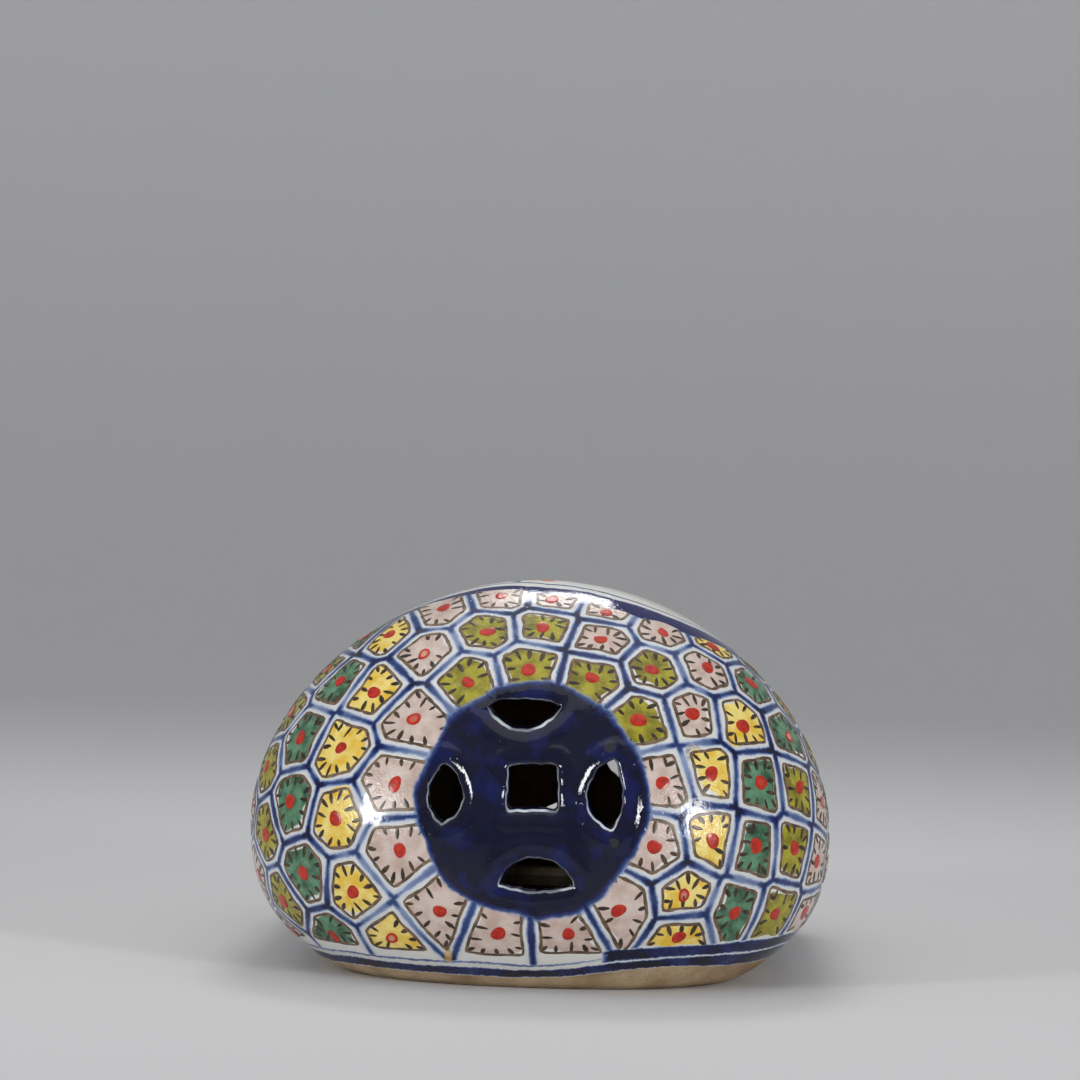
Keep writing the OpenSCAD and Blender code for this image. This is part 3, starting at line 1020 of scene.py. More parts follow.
# Medallions: a pierced cash coin with softly rounded rims
coin = {
    "square": (14.0, 12.5),
    "squareNip": 0.7,        # taken off its corners
    "squareUp": 3.8,
    "squareTilt": -1.5,
    "lenses": (              # length, reach, slip, inner and outer bow: top, left, bottom, right
        (21.0, 26.5, -3.7, 6.5, 1.8),
        (16.5, 25.5, 1.0, 5.6, 4.2),
        (21.0, 24.0, -1.7, 8.0, 1.4),
        (19.5, 22.6, -2.2, 7.0, 2.8),
    ),
    "bowCuts": 60,           # points on each bow of a lens
    "sways": ((3, 0.16), (7, 0.1), (13, 0.06)),  # waves round a hole, and how deep
    "phases": (0.9, 1.7),    # of the first hole's waves, and from hole to hole
    "edgeStep": 0.55,
    "lipWide": 3.2,          # the rims round off over this width
    "lipDrop": 1.7,
    "lipRings": (0.25, 0.6, 1.1, 1.7, 2.5, 3.4),
    "ridge": 0.5,
    "ridgeAt": 4.0,
    "ridgeWide": 1.6,
    "ridgeEnd": 3.0,         # it dies away over this width at the edge
    "tuck": 0.3,             # the edge runs this far under the wall
    "sink": 0.08,
    "sinkWide": 0.6,
    "shadeWide": 1.5,        # this much of the edge shades on into the wall
    "white": (0.65, 0.5),    # whiteness of a lip, thin glaze with a painted highlight, and how much its facing counts: most under a hole, where the lip faces up to the light
    "whiteLimits": (0.3, 1.0),
    "holeRows": 4,
    "holeSway": 0.12,
    "holeWaves": (0.23, 1.9),  # from point to point, and from row to row
    "holeWaist": 0.25,
    "backDepth": 6.0,        # the inner face counts as this deep, so that clay shows there
    "everyPoint": 1.5,       # rings nearer a lip than this keep every point, others each second
    "netStep": 1.05,
    "netRow": 0.866,         # from row to row, in steps
    "netLip": 0.55,          # the net keeps this far off the last ring
    "netEdge": 0.7,          # and this far inside the edge
    "netSpan": (34, 38),     # steps across and up, each way
}


def closedLoop(corners):
    return evenly(np.concatenate([corners, corners[:1]]), step=coin["edgeStep"])[:-1]


def lensLoop(quarter):
    length, reach, slip, innerBow, outerBow = coin["lenses"][quarter]
    chord = length / 2
    parts = []
    for bulge, way in ((innerBow, -1), (outerBow, 1)):
        radius = (chord ** 2 + bulge ** 2) / (2 * bulge)
        spread = math.asin(chord / radius)
        swing = np.linspace(-spread, spread, coin["bowCuts"])
        bow = np.stack([radius * np.sin(swing), way * (radius * np.cos(swing) - radius + bulge)], -1)
        parts.append(bow if way < 0 else bow[::-1])
    loop = np.concatenate([parts[0], parts[1][1:-1]]) + (slip, reach)
    return closedLoop(turned(loop, 90 * quarter))


def squareLoop():
    halfX, halfZ, nip = coin["square"][0] / 2, coin["square"][1] / 2, coin["squareNip"]
    right = [(halfX - nip, -halfZ), (halfX, -halfZ + nip), (halfX, halfZ - nip), (halfX - nip, halfZ)]
    corners = np.array(right + [(-x, z) for x, z in right[::-1]])
    return closedLoop(turned(corners, -coin["squareTilt"]) + (0, coin["squareUp"]))


def wobbleLoop(loop, phase):  # cut by hand, so never quite straight
    along = circleOf(len(loop))
    ahead = unit(np.roll(loop, -1, 0) - np.roll(loop, 1, 0))
    outward = np.stack([ahead[:, 1], -ahead[:, 0]], -1)
    sway = waves(along, coin["sways"], [phase, 2 * phase, 3 * phase])
    return loop + outward * sway[:, None], outward


def loopDistance(points, loop):
    best = np.full(len(points), farOff)
    for a, d in zip(loop, np.roll(loop, -1, 0) - loop):
        share = np.clip(((points - a) @ d) / max(d @ d, 1e-9), 0, 1)
        best = np.minimum(best, ((points - a - share[:, None] * d) ** 2).sum(-1))
    return np.sqrt(best)


def insideLoop(points, loop):
    x, y = points[:, 0], points[:, 1]
    hits = np.zeros(len(points), int)
    for (ax, ay), (bx, by) in zip(loop, np.roll(loop, -1, 0)):
        crosses = (ay > y) != (by > y)
        hits += crosses & (x < (bx - ax) * (y - ay) / (by - ay if by != ay else 1e-9) + ax)
    return hits % 2 == 1


holes = [squareLoop()] + [lensLoop(quarter) for quarter in range(4)]
firstPhase, nextPhase = coin["phases"]
holes = [wobbleLoop(loop, firstPhase + nextPhase * k) for k, loop in enumerate(holes)]
holeLoops, holeOut = [loop for loop, outward in holes], [outward for loop, outward in holes]


def inHoles(points):
    return np.any([insideLoop(points, loop) for loop in holeLoops], axis=0)


def lipDistance(points):
    return np.min([loopDistance(points, loop) for loop in holeLoops], axis=0)


def coinNet():  # flat points and triangles of the pierced disc, and the points of its edge and holes in order
    parts = [(circle - (0, glaze["coinZ"])) * (1 + coin["tuck"] / coinR)] + holeLoops
    starts = np.cumsum([0] + [len(loop) for loop in parts]).tolist()
    edges = [pair for start, loop in zip(starts, parts) for pair in ringPairs(len(loop), start)]
    rings = [(loop + outward * reach)[::1 if reach < coin["everyPoint"] else 2]
             for loop, outward in holes for reach in coin["lipRings"]]
    step, (spanX, spanZ) = coin["netStep"], coin["netSpan"]
    grid = np.array([((i + 0.5 * (j % 2)) * step, j * step * coin["netRow"])
                     for j in range(-spanZ, spanZ + 1) for i in range(-spanX, spanX)])
    grid = grid[~inHoles(grid) & (lipDistance(grid) > coin["lipRings"][-1] + coin["netLip"])]
    parts += [points[np.hypot(*points.T) < coinR - coin["netEdge"]] for points in rings + [grid]]
    points = [Vector(point) for point in np.concatenate(parts)]
    found, _, triangles, origin, _, _ = delaunay_2d_cdt(points, edges, [], 0, 1e-5)
    found = np.array([tuple(point) for point in found])
    newIndex = {old: new for new, olds in enumerate(origin) for old in olds}
    middles = np.array([found[list(triangle)].mean(0) for triangle in triangles])
    gone = inHoles(middles) | (np.hypot(*middles.T) > coinR + coin["tuck"])
    triangles = [tuple(triangle) for triangle, away in zip(triangles, gone) if not away]
    return found, triangles, [[newIndex[k] for k in range(*span)] for span in zip(starts, starts[1:])]


disc, triangles, discLoops = coinNet()
count, fromMiddle, lipGap = len(disc), np.hypot(*disc.T), lipDistance(disc)
discX, discZ = disc[:, 0], disc[:, 1] + glaze["coinZ"]
front = np.stack([discX, endY(discX, discZ), discZ], -1)
back = np.stack([discX, endY(discX, discZ, form["wall"]), discZ], -1)
ridge = coin["ridge"] * np.exp(-((lipGap - coin["ridgeAt"]) / coin["ridgeWide"]) ** 2)
ridge *= smooth(coinR, coinR - coin["ridgeEnd"], fromMiddle)
front = glazeSkin(front, bodyNormal(front), ridge)
fall = 1 - np.clip(lipGap / coin["lipWide"], 0, 1)
front[:, 1] += coin["lipDrop"] * (1 - np.sqrt(1 - fall ** 2))
front[:, 1] += coin["sink"] * smooth(coinR - coin["sinkWide"], coinR, fromMiddle)
# lips under a hole face up and get more white: partly thin glaze, partly a painted highlight
nearestLip = squaresTo(disc, np.concatenate(holeLoops)).argmin(1)
white, highlightFacing = coin["white"]
lipGlazeAndHighlight = np.clip(white - highlightFacing * np.concatenate(holeOut)[nearestLip, 1], *coin["whiteLimits"])
coinVerts, coinRimGlazeAndHighlight = [front, back], [lipGlazeAndHighlight, lipGlazeAndHighlight]
coinLip = [lipGap, np.full(count, -coin["backDepth"])]
coinFaces = triangles + [tuple(count + v for v in triangle) for triangle in flipped(triangles)]
coinFaces += bridge(discLoops[0], [count + k for k in discLoops[0]])  # outer edge, against the wall
nextIndex = 2 * count
perPoint, perRow = coin["holeWaves"]
for hole, (ids, outward) in enumerate(zip(discLoops[1:], holeOut), 1):
    levels = [ids]
    for row in range(1, coin["holeRows"]):
        share = row / coin["holeRows"]
        ringPoints = front[ids] * (1 - share) + back[ids] * share
        sway = coin["holeSway"] * np.sin(np.arange(len(ids)) * perPoint + row * perRow + hole)
        waist = coin["holeWaist"] * math.sin(math.pi * share)
        ringPoints[:, [0, 2]] += outward * (sway - waist)[:, None]
        coinVerts.append(ringPoints)
        coinLip.append(-np.linalg.norm(ringPoints - front[ids], axis=1))
        coinRimGlazeAndHighlight.append(lipGlazeAndHighlight[ids])
        levels.append(list(range(nextIndex, nextIndex + len(ids))))
        nextIndex += len(ids)
    levels.append([count + k for k in ids])
    for upper, lower in zip(levels, levels[1:]):
        coinFaces += bridge(upper, lower)
coinVerts = np.concatenate(coinVerts)
coinFields = {"lipDist": np.concatenate(coinLip), "rimGlazeAndHighlight": np.concatenate(coinRimGlazeAndHighlight)}
edgeRim = np.zeros(len(coinVerts), bool)
edgeRim[:count] = fromMiddle > coinR - coin["shadeWide"]
for end, flip in ends.items():
    verts = coinVerts * (1, flip, 1)
    faces = coinFaces if flip > 0 else flipped(coinFaces)
    piece = addMesh(end + "Coin", verts, faces, [coinGlaze], coinFields)
    facing = readVectors(piece.data.vertex_normals, "vector")
    facing[edgeRim] = bodyNormal(verts[edgeRim])  # shades on into the wall
    piece.data.normals_split_custom_set_from_vertices(facing.tolist())
    standsFor[end + "_coin"] = (piece, "cobalt_glaze")
print("medallions made, points", len(coinVerts))

# Enamel: one patch, outline, ring of strokes and dot for each cell
enamel = {
    "lift": 0.07,           # enamel stands this far above the glaze
    "lineLift": 0.09,
    "dotLift": 0.1,
    "edgeStep": 1.3,
    "shares": (1.0, 0.8, 0.55, 0.28),
    "sway": 0.22,
    "sways": ((3, 1.0), (5, 0.7)),     # waves round an outline, and how deep
    "swells": ((2, 0.05), (4, 0.04)),  # and round its patch
    "coverFrom": (0.1, 0.6),           # thicker cobalt than this hides the enamel
    "bareFrom": (0.94, 1.02),
    "thin": 0.22,
    "slip": 0.22,           # how far a patch may lie off its outline
    "toMiddle": 1.6,        # how much the strokes point at the cell's middle
    "dotSlip": 0.5,
    "smallest": 26.0,       # square mm, below which a cell stays white
    "span": 15.0,           # half the square that a cell is clipped from
    "neighbours": 11,
    "nearCoin": 25.0,       # cells within these reaches are clipped by the medallion, foot and panel
    "nearFoot": 16.0,
    "nearPanel": 18.0,
    "underCoin": 2.0,       # and run on this far under the medallion's cobalt
    "underBands": 0.4,      # and under the bands
    "dotPull": 0.45,        # share of the way from the cell's centre to the middle of its outline
    "dotPullCovered": 0.7,  # the same where a side is covered
    "dotClear": 2.0,        # no dot nearer than this to the panel
    "dotUnder": 0.5,        # or further than this under the bands
    "soften": 0.2,          # share of each neighbour that rounds off an outline's points
}
cellTints = {  # light and strong wash, in the order of the rings
    "olive": (tint(170, 162, 40), tint(112, 104, 16)),
    "pink": (tint(214, 197, 187), tint(190, 165, 153)),
    "yellow": (tint(243, 224, 134), tint(228, 184, 42)),
    "green": (tint(98, 146, 112), tint(34, 72, 50)),
}
brownTints = {  # where the brush wears, dark and worn
    "outline": ((0.32, 0.68), tint(76, 58, 42), tint(126, 104, 84)),
    "stroke": ((0.4, 0.75), tint(40, 28, 16), tint(92, 72, 46)),
}
coral = {
    "light": tint(194, 46, 20),
    "strong": tint(158, 24, 12),
    "brushed": (0.35, 0.7),
    "hollow": tint(226, 178, 150),  # some dots are washed out in the middle
    "hollowDots": (0.9, 0.97),
    "hollowReach": (0.3, 0.75),
    "hollowInk": 0.7,
}
cellNormals = bodyNormal(centres)
sideways = unit(np.cross(np.tile([0.0, 0.0, 1.0], (len(centres), 1)), cellNormals))
upward = np.cross(cellNormals, sideways)


def clipCell(points, labels, normal, limit, label):  # keeps normal . p <= limit
    newPoints, newLabels = [], []
    for k, p in enumerate(points):
        q = points[(k + 1) % len(points)]
        over, overNext = normal @ p - limit, normal @ q - limit
        if over <= 0:
            newPoints.append(p)
            newLabels.append(labels[k])
        if (over <= 0) != (overNext <= 0):
            newPoints.append(p + (q - p) * over / (over - overNext))
            newLabels.append(label if over <= 0 else labels[k])
    return newPoints, newLabels


def planeInCell(k, direction, limit):  # a plane in space as a line in the cell's own flat frame
    flat = np.array([direction @ sideways[k], direction @ upward[k]])
    size = max(np.linalg.norm(flat), 1e-6)
    return flat / size, (limit - direction @ centres[k]) / size


def cellOutline(k):
    span = enamel["span"]
    points = [np.array(p) for p in ((-span, -span), (span, -span), (span, span), (-span, span))]
    labels = ["open"] * 4
    inset = honeycomb["lineHalf"] + honeycomb["whiteGap"]
    for other in np.argsort(gaps[k])[1:enamel["neighbours"] + 1]:
        way = centres[other] - centres[k]
        normal, limit = planeInCell(k, way, way @ (centres[k] + centres[other]) / 2)
        points, labels = clipCell(points, labels, normal, limit - inset, "line")
    x, y, z = centres[k]
    swing = np.array([x, 0, z - glaze["coinZ"]])
    if abs(y) > midK and np.linalg.norm(swing) < coinR + enamel["nearCoin"]:
        away = -swing / np.linalg.norm(swing)
        cut = planeInCell(k, away, away @ (0, 0, glaze["coinZ"]) - coinR + enamel["underCoin"])
        points, labels = clipCell(points, labels, *cut, "covered")
    if z < footLine(x) + enamel["nearFoot"]:
        room = honeycomb["footRoom"] * (1 - smooth(*honeycomb["footRoomX"], x))
        cut = planeInCell(k, np.array([0, 0, -1.0]), enamel["underBands"] - room - footLine(x))
        points, labels = clipCell(points, labels, *cut, "line" if room > 1 else "covered")
    near = panelDistance(centres[k])
    if near < enamel["nearPanel"]:
        steps = ((0.1, 0, 0), (0, 0.1, 0))
        slope = np.array([panelDistance(centres[k] + step) - near for step in steps] + [0])
        away = -slope / np.linalg.norm(slope)
        heavy = smooth(*panel["heavyX"], x) * (1 - smooth(*panel["heavyY"], y))
        cut = planeInCell(k, away, away @ (x, y, 0) + near - (panel["clear"] + panel["heavy"] * heavy))
        points, labels = clipCell(points, labels, *cut, "covered")
    return points, labels


def polygonArea(points):
    x, y = np.array(points).T
    return 0.5 * abs(x @ np.roll(y, -1) - y @ np.roll(x, -1))


def softOutline(points, labels):  # in short steps, with its corners rounded
    edge, edgeLabels = [], []
    for p, q, label in zip(points, points[1:] + points[:1], labels):
        parts = max(1, round(np.linalg.norm(q - p) / enamel["edgeStep"]))
        edge += [p + (q - p) * s / parts for s in range(parts)]
        edgeLabels += [label] * parts
    edge = np.array(edge)
    soft = enamel["soften"]
    return soft * np.roll(edge, 1, 0) + (1 - 2 * soft) * edge + soft * np.roll(edge, -1, 0), edgeLabels


def onCell(k, flat):  # points of the cell's flat frame brought onto the body, and its normals there
    spots = centres[k] + flat[:, :1] * sideways[k] + flat[:, 1:] * upward[k]
    spots = ontoBody(spots, np.tile(cellNormals[k], (len(spots), 1)))
    return spots, bodyNormal(spots)


patch = {"verts": [], "faces": [], "tone": [], "rim": []}
outlines = {"verts": [], "edges": [], "facing": [], "inward": []}
dotSpots = {"verts": [], "facing": []}
painted = 0
for k in range(len(centres)):
    points, labels = cellOutline(k)
    if len(points) < 3 or polygonArea(points) < enamel["smallest"]:
        continue
    painted += 1
    outline, edgeLabels = softOutline(points, labels)
    size, middle = len(outline), outline.mean(0)
    phase = random.uniform(0, fullTurn, 4)
    around = circleOf(size)
    sway = enamel["sway"] * waves(around, enamel["sways"], phase[:2])
    outline = outline + unit(outline - middle) * sway[:, None]
    # enamel patch, laid over the outline a little out of true
    slip = random.normal(0, enamel["slip"], 2)
    swell = waves(around, enamel["swells"], phase[2:], level=1.0)
    flat = [middle + (outline - middle) * (share * swell)[:, None] + slip for share in enamel["shares"]]
    spots, facing = onCell(k, np.concatenate(flat + [middle[None] + slip]))
    first, rings = len(patch["verts"]), len(enamel["shares"])
    tone = int(round(stepOfCell[k])) % len(cellTints)
    patch["verts"] += glazeSkin(spots, facing, enamel["lift"]).tolist()
    patch["faces"] += ringFaces(rings, size, first, first + rings * size)
    patch["tone"] += [(tone + 0.5) / len(cellTints)] * len(spots)
    patch["rim"] += [share for share in enamel["shares"] for i in range(size)] + [0.0]
    random.uniform(0, 1)  # a draw set aside, so that the draws after it keep their order
    # outline and strokes
    spots, facing = onCell(k, outline)
    spots = glazeSkin(spots, facing, enamel["lineLift"])
    inward = unit(np.cross(facing, np.roll(spots, -1, 0) - np.roll(spots, 1, 0)))
    inward = unit(inward + enamel["toMiddle"] * unit(spots.mean(0) - spots))
    pairs = ringPairs(size, len(outlines["verts"]))
    outlines["verts"] += spots.tolist()
    outlines["facing"] += facing.tolist()
    outlines["inward"] += inward.tolist()
    outlines["edges"] += [pair for pair, label in zip(pairs, edgeLabels) if label != "covered"]
    # dot in the middle
    pull = enamel["dotPullCovered" if "covered" in labels else "dotPull"]
    spot = pull * middle + random.normal(0, enamel["dotSlip"], 2)
    spots, facing = onCell(k, spot[None])
    x, _, z = spots[0]
    if panelDistance(spots[0]) > enamel["dotClear"] and z > footLine(x) - enamel["dotUnder"]:
        dotSpots["verts"] += glazeSkin(spots, facing, enamel["dotLift"]).tolist()
        dotSpots["facing"] += facing.tolist()
print("cells painted", painted)


def underCobalt(place, colour):  # the medallion and the foot bands run over the cells
    ink = coinInk(place).atLeast(footBands(place)[0])
    cover = ease(*enamel["coverFrom"], ink)
    return blend(cover, colour, inkColour(place, ink)), 1.0 - cover


def washes(tone, tints):  # the light and the strong tint of each kind, chosen by tone
    stops = [[(k / len(tints), pair[n]) for k, pair in enumerate(tints.values())] for n in (0, 1)]
    return [ramp(tone, each, "CONSTANT") for each in stops]


def enamelWash(place):
    colour = blend(blotch(place, "washPool"), *washes(field(place, "tone"), cellTints))
    # washes stop short of some corners
    bare = ease(*enamel["bareFrom"], field(place, "rim") + cloud(place, "washEdge"))
    thin = blotch(place, "washThin") * enamel["thin"]
    colour, shown = underCobalt(place, blend(bare.atLeast(thin), colour, glaze["white"]))
    grain = cloud(place, "washGrain") * shown
    return surface("wash", colour, grain, grain)


def brownLine(place):
    worn = cloud(place, "brownWear")
    outline, stroke = (blend(ease(*wear, worn), dark, pale) for wear, dark, pale in brownTints.values())
    colour, shown = underCobalt(place, blend(field(place, "stroke"), outline, stroke))
    return surface("brown", colour, shown, worn * shown)


def coralDot(place):
    brushed = cloud(place, "coralBrush")
    colour = blend(ease(*coral["brushed"], brushed), coral["light"], coral["strong"])
    hollow = ease(*coral["hollowDots"], field(place, "washed"))
    hollow = hollow * fade(*coral["hollowReach"], field(place, "share")) * coral["hollowInk"]
    colour = blend(hollow, colour, coral["hollow"])
    return surface("coral", colour, brushed, brushed)


patches = addMesh("enamelPatches", patch["verts"], patch["faces"], [makeMaterial(enamelWash)],
                  {"tone": patch["tone"], "rim": patch["rim"]}, outward=False)


# Geometry Nodes helpers
def newTree(name, sizes, shapes, paint):  # with a named input for each size, shape and material
    tree = bpy.data.node_groups.new(name, "GeometryNodeTree")
    kinds = {"Geometry": "Geometry"}
    kinds.update({key: "Int" if key == "Seed" else "Float" for key in sizes})
    kinds.update({key: "Object" for key in shapes})
    kinds[paint] = "Material"
    for key, kind in kinds.items():
        tree.interface.new_socket(key, in_out="INPUT", socket_type="NodeSocket" + kind)
    tree.interface.new_socket("Geometry", in_out="OUTPUT", socket_type="NodeSocketGeometry")
    sockets = tree.nodes.new("NodeGroupInput").outputs
    return tree, {key: Wire(sockets[key]) for key in kinds}


def joined(parts):
    node = put(parts[0].tree, "GeometryNodeJoinGeometry")
    for part in parts:
        node.id_data.links.new(part.socket, node.inputs[0])
    return Wire(node.outputs[0])


def realize(parts):
    return out(parts[0].tree, "GeometryNodeRealizeInstances", {0: joined(parts)})


def finishTree(parts, paint):  # joined, made real and painted
    painted = out(paint.tree, "GeometryNodeSetMaterial", {"Geometry": realize(parts), "Material": paint})
    paint.tree.links.new(painted.socket, paint.tree.nodes.new("NodeGroupOutput").inputs[0])
    return paint.tree


def runTree(name, guide, tree, values, shapes):  # the guide and the shapes go once the piece is made
    modifier = guide.modifiers.new(tree.name, "NODES")
    modifier.node_group = tree
    values = {**values, **shapes}
    for item in tree.interface.items_tree:
        if item.in_out == "INPUT" and item.name in values:
            modifier[item.identifier] = values[item.name]
    mesh = evaluated(guide)
    mesh.name = name
    guide.modifiers.remove(modifier)
    for spare in (guide, *shapes.values()):
        bpy.data.objects.remove(spare)
    return addObject(name, mesh)


def named(tree, name, kind="FLOAT_VECTOR"):
    return out(tree, "GeometryNodeInputNamedAttribute", {"Name": name}, data_type=kind)


def randomFloat(low, high, seed):
    node = put(seed.tree, "FunctionNodeRandomValue", {"Seed": seed}, data_type="FLOAT")
    limits = {"Min_001": low, "Max_001": high}
    for socket in node.inputs:
        if socket.identifier in limits:
            socket.default_value = limits[socket.identifier]
    return Wire(next(socket for socket in node.outputs if socket.identifier == "Value_001"))


def brushLine(curve, width, thickness, press):  # a flat line, raised along its middle
    tree = curve.tree
    facing = named(tree, "facing")
    curve = out(tree, "GeometryNodeSetCurveNormal", {"Curve": curve, "Normal": facing}, mode="FREE")
    rail = out(tree, "GeometryNodeCurvePrimitiveLine", {"Start": (-0.5, 0, 0), "End": (0.5, 0, 0)})
    rail = out(tree, "GeometryNodeResampleCurve", {"Curve": rail, "Count": 3})
    across = axes(out(tree, "GeometryNodeInputPosition"))[0]
    shaped = combined((0.5 - abs(across)) * thickness, across * width)
    rail = out(tree, "GeometryNodeSetPosition", {"Geometry": rail, "Position": shaped})
    return out(tree, "GeometryNodeCurveToMesh", {"Curve": curve, "Profile Curve": rail, "Scale": press})


def standing(facing, ahead, swing=None):  # turns a shape to stand on the skin, then swings it there
    tree = facing.tree
    turn = out(tree, "FunctionNodeAxesToRotation", {0: facing, 1: ahead})
    if swing is None:
        return turn
    swing = out(tree, "FunctionNodeAxisAngleToRotation", {"Angle": swing})
    return out(tree, "FunctionNodeRotateRotation", {0: turn, 1: swing}, rotation_space="LOCAL")


def placeShape(points, shape, turn, size, **more):
    source = out(points.tree, "GeometryNodeObjectInfo", {"Object": shape}, "Geometry")
    inputs = {"Points": points, "Instance": source, "Rotation": turn, "Scale": size, **more}
    return out(points.tree, "GeometryNodeInstanceOnPoints", inputs)


def marked(placed, name, value):
    inputs = {"Geometry": placed, "Name": name, "Value": value}
    return out(placed.tree, "GeometryNodeStoreNamedAttribute", inputs, domain="INSTANCE")


# Brush outline round each cell with a ring of short strokes pointing inwards
strokes = {
    "Outline Width": 0.95 * mm,
    "Stroke Spacing": 4.3 * mm,
    "Stroke Gap": 0.35 * mm,
    "Stroke Length": 3.0 * mm,
    "Stroke Width": 1.35 * mm,
    "Thickness": 0.07 * mm,
    "Left Out": 0.06,    # share of the strokes
    "Seed": 3,
}
strokeVaries = {"press": (0.72, 1.25), "swing": (-0.3, 0.3), "long": (0.65, 1.2), "broad": (0.7, 1.15)}


def strokeShape():
    verts, places = [], (0.0, 0.12, 0.45, 0.8, 1.0)
    for x in places:
        width = 0.5 * math.sin(math.pi * (0.12 + 0.83 * x ** 0.8)) ** 0.7
        verts += [(x, -width, 0), (x, 0, 1), (x, width, 0)]
    return addShape("strokeShape", verts, netFaces(len(places), 3))


def brushTree():
    tree, given = newTree("brushOutline", strokes, ["Stroke"], "Ink")
    inward, seed = named(tree, "inward"), given["Seed"]
    curve = out(tree, "GeometryNodeMeshToCurve", {0: given["Geometry"]})
    press = randomFloat(*strokeVaries["press"], seed)
    line = brushLine(curve, given["Outline Width"], given["Thickness"], press)
    # strokes, standing a little in from the line
    spacing = {"Curve": curve, "Length": given["Stroke Spacing"]}
    spaced = out(tree, "GeometryNodeResampleCurve", spacing, mode="LENGTH")
    inset = scaled(inward, given["Stroke Gap"])
    spaced = out(tree, "GeometryNodeSetPosition", {"Geometry": spaced, "Offset": inset})
    turn = standing(named(tree, "facing"), inward, randomFloat(*strokeVaries["swing"], seed + 1.0))
    long = given["Stroke Length"] * randomFloat(*strokeVaries["long"], seed + 2.0)
    broad = given["Stroke Width"] * randomFloat(*strokeVaries["broad"], seed + 3.0)
    chance = {0: randomFloat(0.0, 1.0, seed + 4.0), 1: given["Left Out"]}
    kept = out(tree, "FunctionNodeCompare", chance, operation="GREATER_THAN")
    size = combined(long, broad, given["Thickness"])
    placed = placeShape(spaced, given["Stroke"], turn, size, Selection=kept)
    return finishTree([line, marked(placed, "stroke", 1.0)], given["Ink"])


brushwork = runTree("brownBrushwork", addGuide("cellLoops", **outlines), brushTree(),
                    {**strokes, "Ink": makeMaterial(brownLine)}, {"Stroke": strokeShape()})
print("brushwork faces", len(brushwork.data.polygons))

# Coral dot in the middle of each cell
dots = {"Dot Size": 4.5 * mm, "Thickness": 0.09 * mm, "Seed": 21}
dotVaries = {"long": (0.8, 1.12), "broad": (0.75, 1.05)}
dotWaves, dotPhases = ((2, 0.07), (3, 0.05)), (0.6, 2.0)


def dotShape(rim=14):
    turn = circleOf(rim)
    radius = 0.5 * waves(turn, dotWaves, dotPhases, level=1.0)
    levels = ((1.0, 0.0), (0.88, 0.75), (0.45, 1.0))  # share of the radius, and height
    verts = [(scale * r * math.cos(t), scale * r * math.sin(t), height)
             for scale, height in levels for r, t in zip(radius, turn)]
    share = [scale for scale, height in levels for k in range(rim)]
    faces = ringFaces(len(levels), rim, 0, len(verts))
    return addShape("dotShape", verts + [(0, 0, 1.0)], faces, {"share": share + [0.0]})


def dotTree():
    tree, given = newTree("coralDots", dots, ["Shape"], "Paint")
    seed = given["Seed"]
    points = out(tree, "GeometryNodeMeshToPoints", {0: given["Geometry"]})
    turn = standing(named(tree, "facing"), (0.0, 0.0, 1.0), randomFloat(0.0, fullTurn, seed))
    long = randomFloat(*dotVaries["long"], seed + 1.0) * given["Dot Size"]
    broad = randomFloat(*dotVaries["broad"], seed + 2.0) * given["Dot Size"]
    placed = placeShape(points, given["Shape"], turn, combined(long, broad, given["Thickness"]))
    placed = marked(placed, "washed", randomFloat(0.0, 1.0, seed + 3.0))
    return finishTree([placed], given["Paint"])


coralDots = runTree("coralDots", addGuide("dotSpots", **dotSpots), dotTree(),
                    {**dots, "Paint": makeMaterial(coralDot)}, {"Shape": dotShape()})
print("dots", len(dotSpots["verts"]))

# Flower sprays painted on the headrest panel: stems with leaves, a blossom at each end
spray = {
    "Petal Length": 7.0 * mm,
    "Leaf Length": 11.0 * mm,
    "Heart Size": 3.8 * mm,
    "Stem Width": 0.9 * mm,
    "Thickness": 0.06 * mm,
    "Bed": 0.02 * mm,    # paint lies this far off the glaze
    "Lap": 0.01 * mm,    # and each kind this far over the kind before
    "Seed": 31,
}
sprayTints = {  # light and strong wash
    "petal": (tint(226, 122, 88), tint(184, 44, 22)),
    "leaf": (tint(112, 156, 112), tint(50, 94, 66)),
    "heart": (tint(243, 222, 122), tint(222, 170, 56)),
    "stem": (tint(112, 90, 66), tint(72, 52, 36)),
}
sprayPaint = {
    "lighter": (0.25, 0.95),
    "lightShare": 0.6,
    "vein": (0.08, 0.2),
    "veinTones": (0.2, 0.3),     # from the leaves on
    "outline": (0.75, 0.95),
    "outlineTones": (0.5, 0.6),  # up to the leaves
    "lineTint": tint(170, 150, 140),  # deepens the strong wash for both
    "lineInk": 0.8,
}
sprayKinds = list(sprayTints)
sprayStems = (  # from x, y to x, y, bow, leaves, size of the blossom
    (-38, -42, -4, -8, -8, 5, 1.2),
    (-4, -8, 32, 32, 10, 6, 1.25),
    (-17, -32, -38, 14, -8, 6, 1.0),
    (-3, -2, -13, 44, 9, 5, 0.95),
    (-14, -29, 29, -44, 8, 5, 1.0),
    (2, 12, 43, -7, 9, 5, 0.95),
    (-27, -39, 0, -54, -4, 3, 0.8),
)
sprayVaries = {
    "leafSwing": (32, 58),    # degrees
    "leafSize": (0.75, 1.1),
    "petalSwing": (-5, 5),
    "petalSize": (0.92, 1.06),
    "press": (0.7, 1.2),
}
stemStep, petals, petalOut = 1.5, 5, 0.8
rayRise, rayLength = 20 * mm, 60 * mm  # for laying the paint onto the panel
plan = {"verts": [], "edges": [], "heading": [], "kind": [], "size": []}


def addSprayPoint(kind, spot, heading, size):
    plan["verts"].append(spot)
    plan["heading"].append((*heading, 0.0))
    plan["kind"].append(sprayKinds.index(kind))
    plan["size"].append(size)


